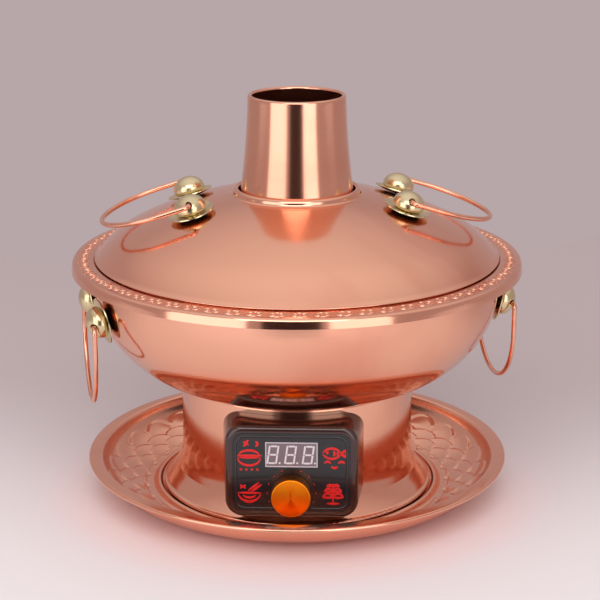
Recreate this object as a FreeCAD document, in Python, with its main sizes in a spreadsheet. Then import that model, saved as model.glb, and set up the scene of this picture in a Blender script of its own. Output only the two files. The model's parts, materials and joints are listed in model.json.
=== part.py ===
"""Chimney hot pot: spun copper bowl on a pedestal with an electric heater, a ring lid and a tray.

Lengths in millimetres, angles in degrees. Z is up, the table is Z = 0, the control box faces -Y.
"""
import math
import os

import FreeCAD
import Part
import Sketcher

SIZES = {
    # tray
    "tray_sheet": (1.0, "copper sheet of the tray"),
    "tray_floor_rise": (1.5, "underside of the tray floor above the table"),
    "stand_reach": (4.8, "distance from the guide bead crest to the ring the tray stands on"),
    "stand_width": (4.4, "width of the ring the tray stands on"),
    "guide_play": (0.5, "gap between the pedestal edge and the bead that centres it"),
    "guide_rise": (2.8, "height of that bead over the tray floor"),
    "guide_half": (3.5, "half width of that bead"),
    "slope_reach": (3.2, "distance from that ring to the start of the slope"),
    "wall_inset": (23.7, "inset of the tray wall from the edge"),
    "slope_level": (8.0, "height where the tray wall begins"),
    "crease_inset": (11.2, "inset of the crease under the lip"),
    "crease_level": (25.0, "height of the crease under the lip"),
    "lip_inset": (7.7, "inset of the lip crest"),
    "lip_level": (27.3, "height of the lip crest"),
    "tray_radius": (161.7, "outer radius of the tray"),
    "tray_roll": (1.6, "radius of the rolled tray edge"),
    # pedestal
    "drum_sheet": (1.0, "copper sheet of the pedestal"),
    "drum_radius": (88.4, "radius of the pedestal under the bowl"),
    "drum_bend": (2.0, "bend at the top of the pedestal"),
    "drum_waist": (68.0, "height where the pedestal begins to widen"),
    "drum_spread": (0.6, "widening of the pedestal at the foot of its straight part"),
    "drum_low": (36.0, "height of the foot of the straight part"),
    "flare_spread": (4.6, "widening at the start of the skirt"),
    "flare_level": (19.0, "height of the start of the skirt"),
    "skirt_spread": (12.6, "widening over the edge bead"),
    "skirt_level": (7.4, "skirt height over the edge bead"),
    "edge_spread": (15.6, "widening at the outer edge"),
    "drum_edge_level": (4.7, "height of the pedestal edge bead"),
    "drum_roll": (1.4, "radius of the pedestal edge bead"),
    "drum_seat": (0.04613, "gap between the pedestal top and the bowl"),
    "window_half": (20.0, "half width of the wiring window behind the box"),
    "window_foot": (16.3, "distance of the wiring window from the foot of the box"),
    "window_head": (14.3, "distance of the wiring window from the top of the box"),
    # bowl
    "bowl_sheet": (1.2, "copper sheet of the bowl"),
    "bowl_floor": (87.8, "underside of the bowl floor above the table"),
    "floor_radius": (71.0, "radius of the flat bowl floor"),
    "join_lean": (27.8, "angle below level of the bowl surface normal where its two curves meet"),
    "bowl_radius": (153.0, "outer radius of the bowl wall"),
    "wall_height": (20.5, "height of the upright wall with the mouth"),
    "mouth_bend": (1.0, "bend under the rim"),
    "rim_width": (17.0, "width of the rim outside the wall"),
    "rim_level": (183.6, "height of the rim at the mouth"),
    "rim_fall": (1.2, "fall of the rim from mouth to edge"),
    "rim_bend": (0.4, "inner bend of the turned edge"),
    "band_height": (8.3, "height of the turned band under the mouth level"),
    "band_inset": (3.1, "inset of the lower edge of the band"),
    # chimney
    "tube_wall": (1.2, "wall of the chimney tube"),
    "chimney_level": (305.0, "top of the chimney"),
    "chimney_top": (36.6, "outer radius of the chimney at its top"),
    "chimney_roll": (1.7, "radius of the rolled chimney lip"),
    "chimney_knee": (47.0, "chimney radius at the knee under the lid"),
    "knee_rise": (21.4, "height of the knee over the rim"),
    "foot_spread": (5.0, "widening from the knee to the straight chimney foot"),
    "foot_level": (150.0, "height where the straight foot begins"),
    "foot_bend": (3.0, "bend of the chimney foot flange"),
    "flange_width": (5.0, "width of the flat of the foot flange"),
    # lid
    "lid_sheet": (1.0, "copper sheet of the lid"),
    "collar_fit": (2.4, "inset of the lid collar from the chimney radius at the knee"),
    "collar_upright": (0.28284, "height of the upright part of the lid collar"),
    "crown_bend": (257.0, "radius of the lid crown curve"),
    "crown_offset": (9.4, "distance of the crown curve centre from the axis"),
    "shoulder_rise": (19.96353, "height of the shoulder start over its foot"),
    "shoulder_width": (25.3, "width of the lid shoulder"),
    "skirt_play": (1.5, "radial play of the lid skirt in the mouth"),
    "lid_turn_rise": (2.4, "height of the shoulder foot over the rim"),
    "bead_reach": (2.3, "reach of the lid bead outside the skirt"),
    "lid_gap": (0.3, "gap between the lid bead and the rim"),
    "lid_bead": (1.0, "height of the lid bead"),
    "skirt_drop": (7.1, "depth of the lid skirt below the rim"),
    # knobs and rings
    "knob_radius": (12.0, "radius of the brass knobs"),
    "knob_neck": (6.4, "radius of the knob necks"),
    "knob_base": (1.1, "height of the knob seat over the sheet"),
    "knob_height": (15.4, "height of the knob top over the sheet"),
    "knob_belly": (5.2, "height of the widest part of the knobs"),
    "knob_spread": (32.0, "distance of each knob from the middle of its ring"),
    "cup_radius": (17.4, "radius of the dished washers"),
    "cup_seat": (7.0, "radius of the flat seat of the washers"),
    "cup_rise": (3.2, "height of the washer rim over the sheet"),
    "cup_sheet": (0.8, "sheet of the washers"),
    "cup_lift": (0.15, "clearance under the washer seat"),
    "knob_screw": (2.0, "radius of the knob screws"),
    "screw_play": (0.2, "radial play round the knob screws"),
    "eye_play": (0.8, "radial play of the ring wire in a knob"),
    "eye_depth": (3.0, "start of the knob bores from the knob middle"),
    "lid_wire": (1.8, "wire radius of the lid rings"),
    "bowl_wire": (1.8, "wire radius of the bowl rings"),
    "ring_gap": (1.0, "gap between the wire end and the bottom of its bore"),
    "ring_reach": (14.5, "distance of the ring centre line outside the knob middle"),
    "ring_side": (21.0, "distance of the ring arc centre from the pivot"),
    "ring_bend": (4.0, "bend of the wire beside the knobs"),
    "lid_pivot_reach": (81.6, "distance of the lid ring pivots from the axis"),
    "lid_eye_up": (4.50732, "height of the lid ring pivots over the widest part of the knobs"),
    "lid_row_turn": (6.0, "turn of the lid knob rows about the axis"),
    "lid_ring_droop": (17.0, "angle of the resting lid rings below level"),
    "bowl_eye_up": (5.3416, "distance of the bowl ring pivots over the widest part of the knobs"),
    "bowl_eye_drop": (16.6, "distance of the bowl ring pivots below the upright wall"),
    "bowl_row_turn": (13.5, "turn of the bowl knob rows about the axis"),
    # inside the pedestal
    "rest_gap": (0.1, "gap between the rubber feet and the tray"),
    "post_radius": (4.5, "radius of the posts"),
    "post_hole": (2.6, "radius of the upper post hole"),
    "plate_level": (9.5, "underside of the base plate"),
    "plate_sheet": (1.2, "sheet of the base plate"),
    "plate_play": (5.2, "gap between the base plate and the skirt"),
    "vent_radius": (3.0, "radius of the vent holes"),
    "vent_circle": (30.0, "circle of the vent holes"),
    "foot_radius": (10.0, "radius of the rubber feet"),
    "stud_radius": (2.5, "radius of the bowl studs"),
    "stud_length": (10.0, "length of the bowl studs"),
    "base_screw": (2.0, "radius of the base screws"),
    "heater_play": (4.0, "gap between the heating plate and the pedestal top"),
    "heater_hole": (12.0, "radius of the hole in the heating plate"),
    "heater_thick": (9.0, "thickness of the heating plate"),
    "element_circle": (44.0, "centre line radius of the heating element"),
    "element_radius": (4.0, "radius of the heating element"),
    "leg_length": (12.0, "length of the sheathed ends of the heating element"),
    "tail_length": (20.0, "length of the ends with their terminal pins"),
    "element_turn": (320.0, "angle covered by the heating element"),
    "heater_stud": (2.0, "radius of the heating plate studs"),
    "heater_stud_circle": (24.0, "circle of the heating plate studs"),
    "nut_thick": (3.2, "thickness of the small nuts"),
    "nut_corner": (4.05, "corner radius of the small nuts"),
    "heater_stud_end": (8.0, "length of the studs below the heating plate"),
    "probe_radius": (7.0, "radius of the temperature probe"),
    "probe_length": (14.0, "length of the temperature probe"),
    "cutout_length": (8.0, "length of the thermal cut-out"),
    "pillar_height": (8.0, "height of the board pillars"),
    "board_thick": (1.6, "thickness of the circuit boards"),
    "board_half_x": (35.0, "half width of the power board"),
    "board_front": (-16.0, "front edge of the power board"),
    "board_back": (34.0, "back edge of the power board"),
    # mains inlet at the back
    "inlet_half": (26.0, "half width of the inlet block"),
    "inlet_level": (50.0, "height of the inlet middle"),
    "inlet_height": (28.0, "height of the inlet block"),
    "inlet_reach": (9.6, "reach of the inlet block behind the pedestal"),
    "inlet_corner": (5.0, "corner radius of the inlet block"),
    "well_half": (13.0, "half width of the inlet well"),
    "well_height": (8.5, "half height of the inlet well"),
    "well_depth": (18.0, "depth of the inlet well"),
    "inlet_wall": (2.0, "wall of the inlet well"),
    # control box
    "box_half": (47.8, "half width of the control box at its front"),
    "box_flare": (4.2, "widening of the box towards the pedestal"),
    "box_embrace": (18.4, "depth of the box root plane inside the pedestal"),
    "box_reach": (21.6, "reach of the box in front of the pedestal"),
    "box_low": (13.7, "lower edge of the control box"),
    "box_drop": (3.5, "distance of the top of the box below the bowl floor"),
    "box_corner": (13.0, "corner radius of the control box"),
    "box_round": (4.2, "rounding round the front of the control box"),
    "box_wall": (2.5, "wall of the control box"),
    "box_seat": (0.3, "gap between the control box and the pedestal"),
    "face_margin": (5.2, "margin of the face plate in the box front"),
    "face_depth": (1.4, "depth of the face plate recess"),
    "face_proud": (0.3, "height of the face plate over the box front"),
    "face_fit": (0.15, "gap round the face plate"),
    "display_half": (18.85, "half width of the display"),
    "display_drop": (21.3, "distance of the display middle below the top of the box"),
    "display_height": (19.0, "height of the display"),
    "display_depth": (8.0, "depth of the display"),
    "display_proud": (0.5, "height of the display over the box front"),
    "display_fit": (0.2, "gap round the display"),
    "digit_pitch": (12.7, "pitch of the digits"),
    "digit_height": (14.2, "height of the digits"),
    "digit_width": (7.6, "width of the digits"),
    "digit_stroke": (1.3, "stroke of the digits"),
    "digit_thick": (0.25, "height of the digits over the display"),
    "digit_slant": (8.0, "slant of the digits"),
    "dial_rise": (20.3, "height of the dial axis over the foot of the box"),
    "dial_radius": (14.25, "radius of the dial"),
    "dial_depth": (12.0, "depth of the dial"),
    "dial_gap": (0.7, "gap between the dial and the face plate"),
    "dial_recess": (10.4, "radius of the recess behind the dial"),
    "dial_recess_depth": (6.0, "depth of the recess behind the dial"),
    "shaft_radius": (3.0, "radius of the dial shaft"),
    "bush_radius": (4.4, "radius of the potentiometer bush"),
    "bush_play": (0.35, "radial play of the shaft in the bush"),
    "pot_radius": (8.5, "radius of the potentiometer"),
    "pot_depth": (9.0, "depth of the potentiometer"),
    "panel_board": (11.5, "distance of the display board behind the front wall"),
    "boss_radius": (3.4, "radius of the bosses in the control box"),
    "boss_inset": (9.8, "inset of the display board screws from the side of the box"),
    "clamp_inset": (17.8, "inset of the box screws from the side of the box"),
    "clamp_foot": (10.3, "height of the lower box screws over the foot of the box"),
    "clamp_head": (8.3, "distance of the upper box screws below the top of the box"),
    "box_screw": (1.6, "radius of the box screws"),
    "bar_end": (6.0, "length of the clamp bars outside the screws"),
    "bar_high": (8.0, "height of the clamp bars"),
    "bar_thick": (2.0, "thickness of the clamp bars"),
}


class Size:
    """A number together with the sheet formula that gives it."""

    def __init__(self, value, text):
        self.value = value
        self.text = text

    def __add__(self, other):
        return join(self, other, "+", lambda a, b: a + b)

    def __radd__(self, other):
        return join(other, self, "+", lambda a, b: a + b)

    def __sub__(self, other):
        return join(self, other, "-", lambda a, b: a - b)

    def __rsub__(self, other):
        return join(other, self, "-", lambda a, b: a - b)

    def __mul__(self, other):
        return join(self, other, "*", lambda a, b: a * b)

    def __rmul__(self, other):
        return join(other, self, "*", lambda a, b: a * b)

    def __truediv__(self, other):
        return join(self, other, "/", lambda a, b: a / b)

    def __neg__(self):
        return Size(-self.value, "(0 - %s)" % self.text)


def size(number):
    """A size from a plain number, or the size itself."""
    if isinstance(number, Size):
        return number
    return Size(float(number), "(%s)" % number)


def join(left, right, sign, rule):
    """Two sizes joined by one sign."""
    left = size(left)
    right = size(right)
    return Size(rule(left.value, right.value), "(%s %s %s)" % (left.text, sign, right.text))


def root(number):
    """Square root of a size."""
    number = size(number)
    return Size(math.sqrt(number.value), "sqrt(%s)" % number.text)


def sine(angle):
    """Sine of an angle in degrees."""
    angle = size(angle)
    return Size(math.sin(math.radians(angle.value)), "sin(%s)" % angle.text)


def cosine(angle):
    """Cosine of an angle in degrees."""
    angle = size(angle)
    return Size(math.cos(math.radians(angle.value)), "cos(%s)" % angle.text)


def arctan(ratio):
    """Angle in degrees whose tangent is the ratio."""
    ratio = size(ratio)
    return Size(math.degrees(math.atan(ratio.value)), "(atan(%s) / 1 deg)" % ratio.text)


def length(across, up):
    """Length of a vector."""
    return root(across * across + up * up)


doc = FreeCAD.newDocument("ChimneyHotPot")
sheet = doc.addObject("Spreadsheet::Sheet", "Sizes")
for row, (alias, (number, meaning)) in enumerate(SIZES.items(), start=1):
    sheet.set("A%d" % row, str(number))
    sheet.setAlias("A%d" % row, alias)
    sheet.set("B%d" % row, meaning)
doc.recompute()


class Table:
    """The sizes of the sheet by name."""

    def __init__(self):
        self.numbers = {alias: float(number) for alias, (number, unused) in SIZES.items()}

    def __getattr__(self, alias):
        return Size(self.numbers[alias], "Sizes.%s" % alias)

    def follow(self, alias, amount):
        """Add a size that follows from others to the sheet."""
        self.numbers[alias] = amount.value
        line = len(self.numbers)
        sheet.set("A%d" % line, "=" + amount.text.replace("Sizes.", ""))
        sheet.setAlias("A%d" % line, alias)


z = Table()
NODES = []

# pedestal and box, from the radius of the pedestal and the bowl floor
z.follow("drum_low_radius", z.drum_radius + z.drum_spread)
z.follow("flare_radius", z.drum_radius + z.flare_spread)
z.follow("skirt_radius", z.drum_radius + z.skirt_spread)
z.follow("drum_edge", z.drum_radius + z.edge_spread)
z.follow("box_root", z.drum_radius - z.box_embrace)
z.follow("box_front", z.drum_radius + z.box_reach)
z.follow("inlet_back", z.drum_radius + z.inlet_reach)
z.follow("well_floor", z.inlet_back - z.well_depth)
z.follow("inlet_low", z.inlet_level - z.inlet_height / 2)
z.follow("inlet_high", z.inlet_level + z.inlet_height / 2)
z.follow("box_root_half", z.box_half + z.box_flare)
z.follow("box_high", z.bowl_floor - z.box_drop)
z.follow("window_low", z.box_low + z.window_foot)
z.follow("window_high", z.box_high - z.window_head)
z.follow("display_low", z.box_high - z.display_drop - z.display_height / 2)
z.follow("display_high", z.box_high - z.display_drop + z.display_height / 2)
z.follow("dial_level", z.box_low + z.dial_rise)
z.follow("boss_x", z.box_half - z.boss_inset)
z.follow("clamp_x", z.box_half - z.clamp_inset)
z.follow("clamp_low", z.box_low + z.clamp_foot)
z.follow("clamp_high", z.box_high - z.clamp_head)
z.follow("bar_half", z.clamp_x + z.bar_end)

# posts and plates under the bowl floor
z.follow("post_circle", z.floor_radius - z.post_radius)
z.follow("seat_hole", z.post_circle - z.post_radius)
z.follow("heater_radius", z.seat_hole - z.heater_play)
z.follow("plate_radius", z.skirt_radius - z.plate_play)
z.follow("board_level", z.plate_level + z.plate_sheet + z.pillar_height)

# tray, from the pedestal edge outwards and from its own edge inwards
z.follow("guide_radius", z.drum_edge + z.guide_play + z.guide_half)
z.follow("stand_inner", z.guide_radius + z.stand_reach)
z.follow("stand_outer", z.stand_inner + z.stand_width)
z.follow("slope_start", z.stand_outer + z.slope_reach)
z.follow("slope_end", z.tray_radius - z.wall_inset)
z.follow("crease_radius", z.tray_radius - z.crease_inset)
z.follow("lip_radius", z.tray_radius - z.lip_inset)

# bowl, from its wall and the rim
z.follow("rim_radius", z.bowl_radius + z.rim_width)
z.follow("band_level", z.rim_level - z.band_height)
z.follow("belly_level", z.rim_level - z.wall_height)
lean_c = cosine(z.join_lean)
lean_s = sine(z.join_lean)
belly_out = z.bowl_radius - z.floor_radius
belly_tall = z.belly_level - z.bowl_floor
z.follow("low_bend", (belly_out * lean_s - belly_tall * (1 - lean_c)) / (lean_c + lean_s - 1))
z.follow("belly_bend", (belly_tall * lean_c - belly_out * (1 - lean_s)) / (lean_c + lean_s - 1))
z.follow("join_radius", z.floor_radius + z.low_bend * lean_c)
z.follow("join_level", z.bowl_floor + z.low_bend * (1 - lean_s))

# chimney and lid, from the rim and each other
z.follow("knee_level", z.rim_level + z.knee_rise)
z.follow("chimney_low", z.chimney_knee + z.foot_spread)
z.follow("foot_flange", z.chimney_low + z.foot_bend + z.flange_width)
z.follow("collar_radius", z.chimney_knee - z.collar_fit)
z.follow("skirt_turn", z.bowl_radius - z.bowl_sheet - z.skirt_play)
z.follow("lid_radius", z.skirt_turn + z.bead_reach)
z.follow("shoulder_radius", z.skirt_turn - z.shoulder_width)
z.follow("lid_turn_level", z.rim_level + z.lid_turn_rise)
z.follow("skirt_foot", z.rim_level - z.skirt_drop)
shoulder_across = z.shoulder_radius - z.crown_offset
z.follow("crown_centre", z.lid_turn_level + z.shoulder_rise
         - root(z.crown_bend * z.crown_bend - shoulder_across * shoulder_across))

# ring pivots: a knob stands square on its curved wall, and its bore lies this far over the wall
z.follow("eye_start", z.knob_spread + z.eye_depth)
z.follow("ring_end", z.eye_start + z.ring_gap)
z.follow("ring_radius", z.knob_spread + z.ring_reach)
z.follow("lid_eye", z.crown_bend + z.knob_belly + z.lid_eye_up)
lid_across = length(z.lid_pivot_reach, z.knob_spread) - z.crown_offset
z.follow("lid_pivot_level", z.crown_centre + root(z.lid_eye * z.lid_eye - lid_across * lid_across))
z.follow("bowl_eye", z.belly_bend + z.knob_belly + z.bowl_eye_up)
z.follow("bowl_knob_reach", z.bowl_radius - z.belly_bend
         + root(z.bowl_eye * z.bowl_eye - z.bowl_eye_drop * z.bowl_eye_drop))
z.follow("bowl_pivot_reach", root(z.bowl_knob_reach * z.bowl_knob_reach - z.knob_spread * z.knob_spread))
z.follow("bowl_pivot_level", z.belly_level - z.bowl_eye_drop)
doc.recompute()


def bind(item, path, amount):
    """Tie one property of an object to a size."""
    item.setExpression(path, size(amount).text)


def node(label, item):
    """Name an object as one part of the pot."""
    item.Label = label
    NODES.append(item)
    return item


def place(item, x=0.0, y=0.0, up=0.0):
    """Move an object to a point."""
    for path, amount in (("x", x), ("y", y), ("z", up)):
        bind(item, ".Placement.Base.%s" % path, amount)
    return item


def turn(item, axis, angle):
    """Turn an object about one of the frame directions."""
    angle = size(angle)
    item.Placement = FreeCAD.Placement(item.Placement.Base,
                                       FreeCAD.Rotation(FreeCAD.Vector(*axis), angle.value))
    bind(item, ".Placement.Rotation.Angle", angle)
    return item


def rod(radius, tall, x=0.0, y=0.0, up=0.0):
    """An upright cylinder."""
    item = doc.addObject("Part::Cylinder", "rod")
    bind(item, "Radius", radius)
    bind(item, "Height", tall)
    return place(item, x, y, up)


def forward_rod(radius, start, end, x=0.0, up=0.0):
    """A cylinder along Y between two planes, start behind end."""
    item = doc.addObject("Part::Cylinder", "rod")
    bind(item, "Radius", radius)
    bind(item, "Height", size(start) - end)
    turn(item, (1, 0, 0), 90.0)
    return place(item, x, start, up)


def block(x0, x1, y0, y1, z0, z1):
    """A box between six planes."""
    item = doc.addObject("Part::Box", "block")
    bind(item, "Length", size(x1) - x0)
    bind(item, "Width", size(y1) - y0)
    bind(item, "Height", size(z1) - z0)
    return place(item, x0, y0, z0)


def hexagon(corner, thick, x=0.0, y=0.0, up=0.0):
    """An upright hexagonal prism."""
    item = doc.addObject("Part::Prism", "hexagon")
    item.Polygon = 6
    bind(item, "Circumradius", corner)
    bind(item, "Height", thick)
    return place(item, x, y, up)


def group(items):
    """Several solids kept together."""
    item = doc.addObject("Part::Compound", "group")
    item.Links = list(items)
    return item


def fused(items):
    """Several solids made one."""
    item = doc.addObject("Part::MultiFuse", "fused")
    item.Shapes = list(items)
    item.Refine = True
    return item


def cut(base, tool):
    """One solid less another."""
    item = doc.addObject("Part::Cut", "cut")
    item.Base = base
    item.Tool = tool
    return item


def body_plane(body, role):
    """One of the origin planes of a body."""
    return [plane for plane in body.Origin.OriginFeatures if plane.Role == role][0]


def sketch_on(body, role, name, offset=0.0):
    """An empty sketch on a plane of a body."""
    sketch = body.newObject("Sketcher::SketchObject", name)
    sketch.AttachmentSupport = (body_plane(body, role), [""])
    sketch.MapMode = "FlatFace"
    offset = size(offset)
    sketch.AttachmentOffset = FreeCAD.Placement(FreeCAD.Vector(0, 0, offset.value), FreeCAD.Rotation())
    if "Sizes" in offset.text:
        bind(sketch, ".AttachmentOffset.Base.z", offset)
    return sketch


def hold(sketch, kind, vertex, amount):
    """Fix one coordinate of a vertex."""
    amount = size(amount)
    if amount.value == 0.0 and "Sizes" not in amount.text:
        axis = -2 if kind == "DistanceX" else -1
        sketch.addConstraint(Sketcher.Constraint("PointOnObject", vertex[0], vertex[1], axis))
        return
    number = sketch.addConstraint(Sketcher.Constraint(kind, -1, 1, vertex[0], vertex[1], amount.value))
    bind(sketch, "Constraints[%d]" % number, amount)


def draw(sketch, outline, closed=True):
    """Draw an outline of (x, y, sweep) vertices; a sweep bends the side that follows."""
    points = [(size(x), size(y), size(sweep)) for x, y, sweep in outline]
    sides = len(points) if closed else len(points) - 1
    ends = []
    for number in range(sides):
        x0, y0, sweep = points[number]
        x1, y1, unused = points[(number + 1) % len(points)]
        start = FreeCAD.Vector(x0.value, y0.value, 0)
        end = FreeCAD.Vector(x1.value, y1.value, 0)
        if sweep.value == 0.0:
            sketch.addGeometry(Part.LineSegment(start, end), False)
            ends.append((1, 2))
            continue
        half = math.radians(abs(sweep.value)) / 2
        chord = end - start
        bend = chord.Length / (2 * math.sin(half))
        side = 1 if sweep.value > 0 else -1
        left = FreeCAD.Vector(-chord.y, chord.x, 0).normalize()
        centre = (start + end) * 0.5 + left * (side * bend * math.cos(half))
        first = start if side > 0 else end
        begin = math.atan2(first.y - centre.y, first.x - centre.x)
        circle = Part.Circle(centre, FreeCAD.Vector(0, 0, 1), bend)
        arc = Part.ArcOfCircle(circle, begin, begin + 2 * half)
        number = sketch.addGeometry(arc, False)
        ends.append((1, 2) if side > 0 else (2, 1))
        held = sketch.addConstraint(Sketcher.Constraint("Angle", number, 2 * half))
        bind(sketch, "Constraints[%d]" % held, sweep * side)
    for number in range(sides):
        hold(sketch, "DistanceX", (number, ends[number][0]), points[number][0])
        hold(sketch, "DistanceY", (number, ends[number][0]), points[number][1])
    for number in range(sides - 1 if not closed else sides):
        after = (number + 1) % sides
        sketch.addConstraint(Sketcher.Constraint("Coincident", number, ends[number][1],
                                                 after, ends[after][0]))
    if not closed:
        hold(sketch, "DistanceX", (sides - 1, ends[-1][1]), points[-1][0])
        hold(sketch, "DistanceY", (sides - 1, ends[-1][1]), points[-1][1])


def turned(name, outline):
    """A solid of revolution about Z from an (r, z, sweep) outline."""
    body = doc.addObject("PartDesign::Body", name)
    sketch = sketch_on(body, "XZ_Plane", name + "_outline")
    draw(sketch, outline)
    solid = body.newObject("PartDesign::Revolution", name + "_turned")
    solid.Profile = sketch
    solid.ReferenceAxis = (sketch, ["V_Axis"])
    solid.Angle = 360.0
    sketch.Visibility = False
    return body


def spun(name, stations, sheet_thick, edge=()):
    """A sheet shell about Z; stations are (r, z, angle of the outward normal)."""
    near = []
    far = []
    for number, (r, up, lean) in enumerate(stations):
        after = stations[min(number + 1, len(stations) - 1)][2]
        near.append((r, up, after - lean))
        inner_r = 0.0 if r == 0.0 else size(r) - sheet_thick * cosine(lean)
        far.append((inner_r, size(up) - sheet_thick * sine(lean), lean - after))
    outline = near[:-1] + [near[-1][:2] + (0.0,)] + list(edge)
    back = far[::-1]
    for number, (r, up, unused) in enumerate(back):
        before = back[number + 1][2] if number + 1 < len(back) else 0.0
        outline.append((r, up, before))
    return turned(name, outline)


def rounded(half, low, high, corner):
    """Outline of a rounded rectangle."""
    return [
        (corner - half, low, 0.0),
        (half - corner, low, 90.0),
        (half, low + corner, 0.0),
        (half, high - corner, 90.0),
        (half - corner, high, 0.0),
        (corner - half, high, 90.0),
        (-half, high - corner, 0.0),
        (-half, low + corner, 90.0),
    ]


def slab(name, half, low, high, corner, front, thick):
    """A rounded plate facing -Y; front is the distance of its rear plane from the axis."""
    body = doc.addObject("PartDesign::Body", name)
    sketch = sketch_on(body, "XZ_Plane", name + "_outline", front)
    draw(sketch, rounded(size(half), size(low), size(high), size(corner)))
    pad = body.newObject("PartDesign::Pad", name + "_pad")
    pad.Profile = sketch
    bind(pad, "Length", thick)
    sketch.Visibility = False
    return body


def tapered(name, sections):
    """A loft through rounded rectangles at distances in front of the axis."""
    body = doc.addObject("PartDesign::Body", name)
    sketches = []
    for number, (front, half, low, high, corner) in enumerate(sections):
        sketch = sketch_on(body, "XZ_Plane", "%s_section%d" % (name, number), front)
        draw(sketch, rounded(half, low, high, corner))
        sketch.Visibility = False
        sketches.append(sketch)
    loft = body.newObject("PartDesign::AdditiveLoft", name + "_loft")
    loft.Profile = sketches[0]
    loft.Sections = sketches[1:]
    loft.Ruled = True
    return body


def wire_ring(name, wire):
    """A ring with two inturned ends; its pivot is X and it reaches along +Y."""
    body = doc.addObject("PartDesign::Body", name)
    path = sketch_on(body, "XY_Plane", name + "_path")
    out = z.ring_radius - z.ring_bend
    draw(path, [
        (-z.ring_end, 0.0, 0.0),
        (-out, 0.0, -90.0),
        (-z.ring_radius, z.ring_bend, 0.0),
        (-z.ring_radius, z.ring_side, -180.0),
        (z.ring_radius, z.ring_side, 0.0),
        (z.ring_radius, z.ring_bend, -90.0),
        (out, 0.0, 0.0),
        (z.ring_end, 0.0, 0.0),
    ], closed=False)
    section = sketch_on(body, "YZ_Plane", name + "_section", -z.ring_end)
    section.addGeometry(Part.Circle(FreeCAD.Vector(0, 0, 0), FreeCAD.Vector(0, 0, 1), wire.value), False)
    section.addConstraint(Sketcher.Constraint("Coincident", 0, 3, -1, 1))
    held = section.addConstraint(Sketcher.Constraint("Radius", 0, wire.value))
    bind(section, "Constraints[%d]" % held, wire)
    doc.recompute()
    pipe = body.newObject("PartDesign::AdditivePipe", name + "_wire")
    pipe.Profile = section
    pipe.Spine = (path, ["Edge%d" % (number + 1) for number in range(7)])
    path.Visibility = False
    section.Visibility = False
    return body


def around(items, angle):
    """A group turned about the pot axis."""
    return turn(group(items), (0, 0, 1), angle)


# tray: floor, guide bead, standing ring, scalloped slope, wall and rolled lip
tray_floor = z.tray_floor_rise + z.tray_sheet
stand_top = z.tray_sheet
roll_r = z.tray_radius - z.tray_roll
roll_level = z.lip_level - 0.3 - z.tray_roll
tray = spun("tray", [
    (0.0, tray_floor, 90.0),
    (z.guide_radius - z.guide_half, tray_floor, 90.0),
    (z.guide_radius - z.guide_half / 2, tray_floor + z.guide_rise / 2, 155.0),
    (z.guide_radius, tray_floor + z.guide_rise, 90.0),
    (z.guide_radius + z.guide_half * 0.6, tray_floor + z.guide_rise * 0.25, 28.0),
    (z.stand_inner, stand_top, 90.0),
    (z.stand_outer, stand_top, 90.0),
    ((z.stand_outer + z.slope_start) / 2, stand_top + 1.0, 126.0),
    (z.slope_start, stand_top + 2.0, 106.0),
    (z.slope_end, z.slope_level, 106.0),
    (z.crease_radius, z.crease_level, 168.0),
    (z.lip_radius, z.lip_level, 90.0),
    (roll_r, roll_level + z.tray_roll, 84.0),
    (z.tray_radius, roll_level, 0.0),
    (roll_r, roll_level - z.tray_roll, -90.0),
    (roll_r - z.tray_roll * 0.9, roll_level - z.tray_roll * 0.43, -155.0),
], z.tray_sheet)
node("tray", tray)

# pedestal: dished top under the bowl floor, straight drum, flared skirt with a beaded edge
under = z.bowl_floor - 0.05
head_r = z.drum_radius - z.drum_bend * 1.18
head_across = head_r - z.floor_radius
head_chord = root(z.low_bend * z.low_bend - head_across * head_across)
head_up = z.bowl_floor + z.low_bend - head_chord - z.drum_seat
drum_top = head_up - z.drum_bend * 0.984
shell = spun("drum", [
    (z.seat_hole, under, 90.0),
    (z.floor_radius, under, 90.0),
    (head_r, head_up, 90 + arctan(head_across / head_chord)),
    (z.drum_radius, drum_top, 0.0),
    (z.drum_radius, z.drum_waist, 0.0),
    (z.drum_low_radius, z.drum_low, 2.1),
    (z.flare_radius, z.flare_level, 26.0),
    (z.skirt_radius, z.skirt_level, 38.0),
    (z.drum_edge - z.drum_roll * 0.83, z.drum_edge_level + z.drum_roll * 0.985, 80.0),
    (z.drum_edge, z.drum_edge_level, 0.0),
    (z.drum_edge - z.drum_roll, z.drum_edge_level - z.drum_roll, -90.0),
    (z.drum_edge - z.drum_roll * 2, z.drum_edge_level, -178.0),
], z.drum_sheet)
clamp_heights = (z.clamp_low, z.clamp_high)
shell_cuts = [
    block(-z.window_half, z.window_half, -z.box_front, -z.box_root, z.window_low, z.window_high),
    block(-(z.well_half + z.inlet_wall + 0.4), z.well_half + z.inlet_wall + 0.4, z.box_root, z.box_front,
          (z.inlet_low + z.inlet_high) / 2 - z.well_height - z.inlet_wall - 0.4,
          (z.inlet_low + z.inlet_high) / 2 + z.well_height + z.inlet_wall + 0.4),
]
for height in clamp_heights:
    for side in (-1, 1):
        shell_cuts.append(forward_rod(z.box_screw + 0.4, -z.box_root, -z.box_front, z.clamp_x * side, height))
POST_ANGLES = (45, 135, 225, 315)
posts_at = [(z.post_circle * cosine(angle), z.post_circle * sine(angle)) for angle in POST_ANGLES]
for x, y in posts_at:
    shell_cuts.append(rod(z.stud_radius + 0.3, 6.0, x, y, z.bowl_floor - 4.0))
inlet_screw_x = z.inlet_half - 6.0
inlet_middle = (z.inlet_low + z.inlet_high) / 2
for side in (-1, 1):
    shell_cuts.append(forward_rod(2.0, z.inlet_back, z.box_root, inlet_screw_x * side, inlet_middle))
node("pedestal_shell", cut(shell, fused(shell_cuts)))

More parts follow.
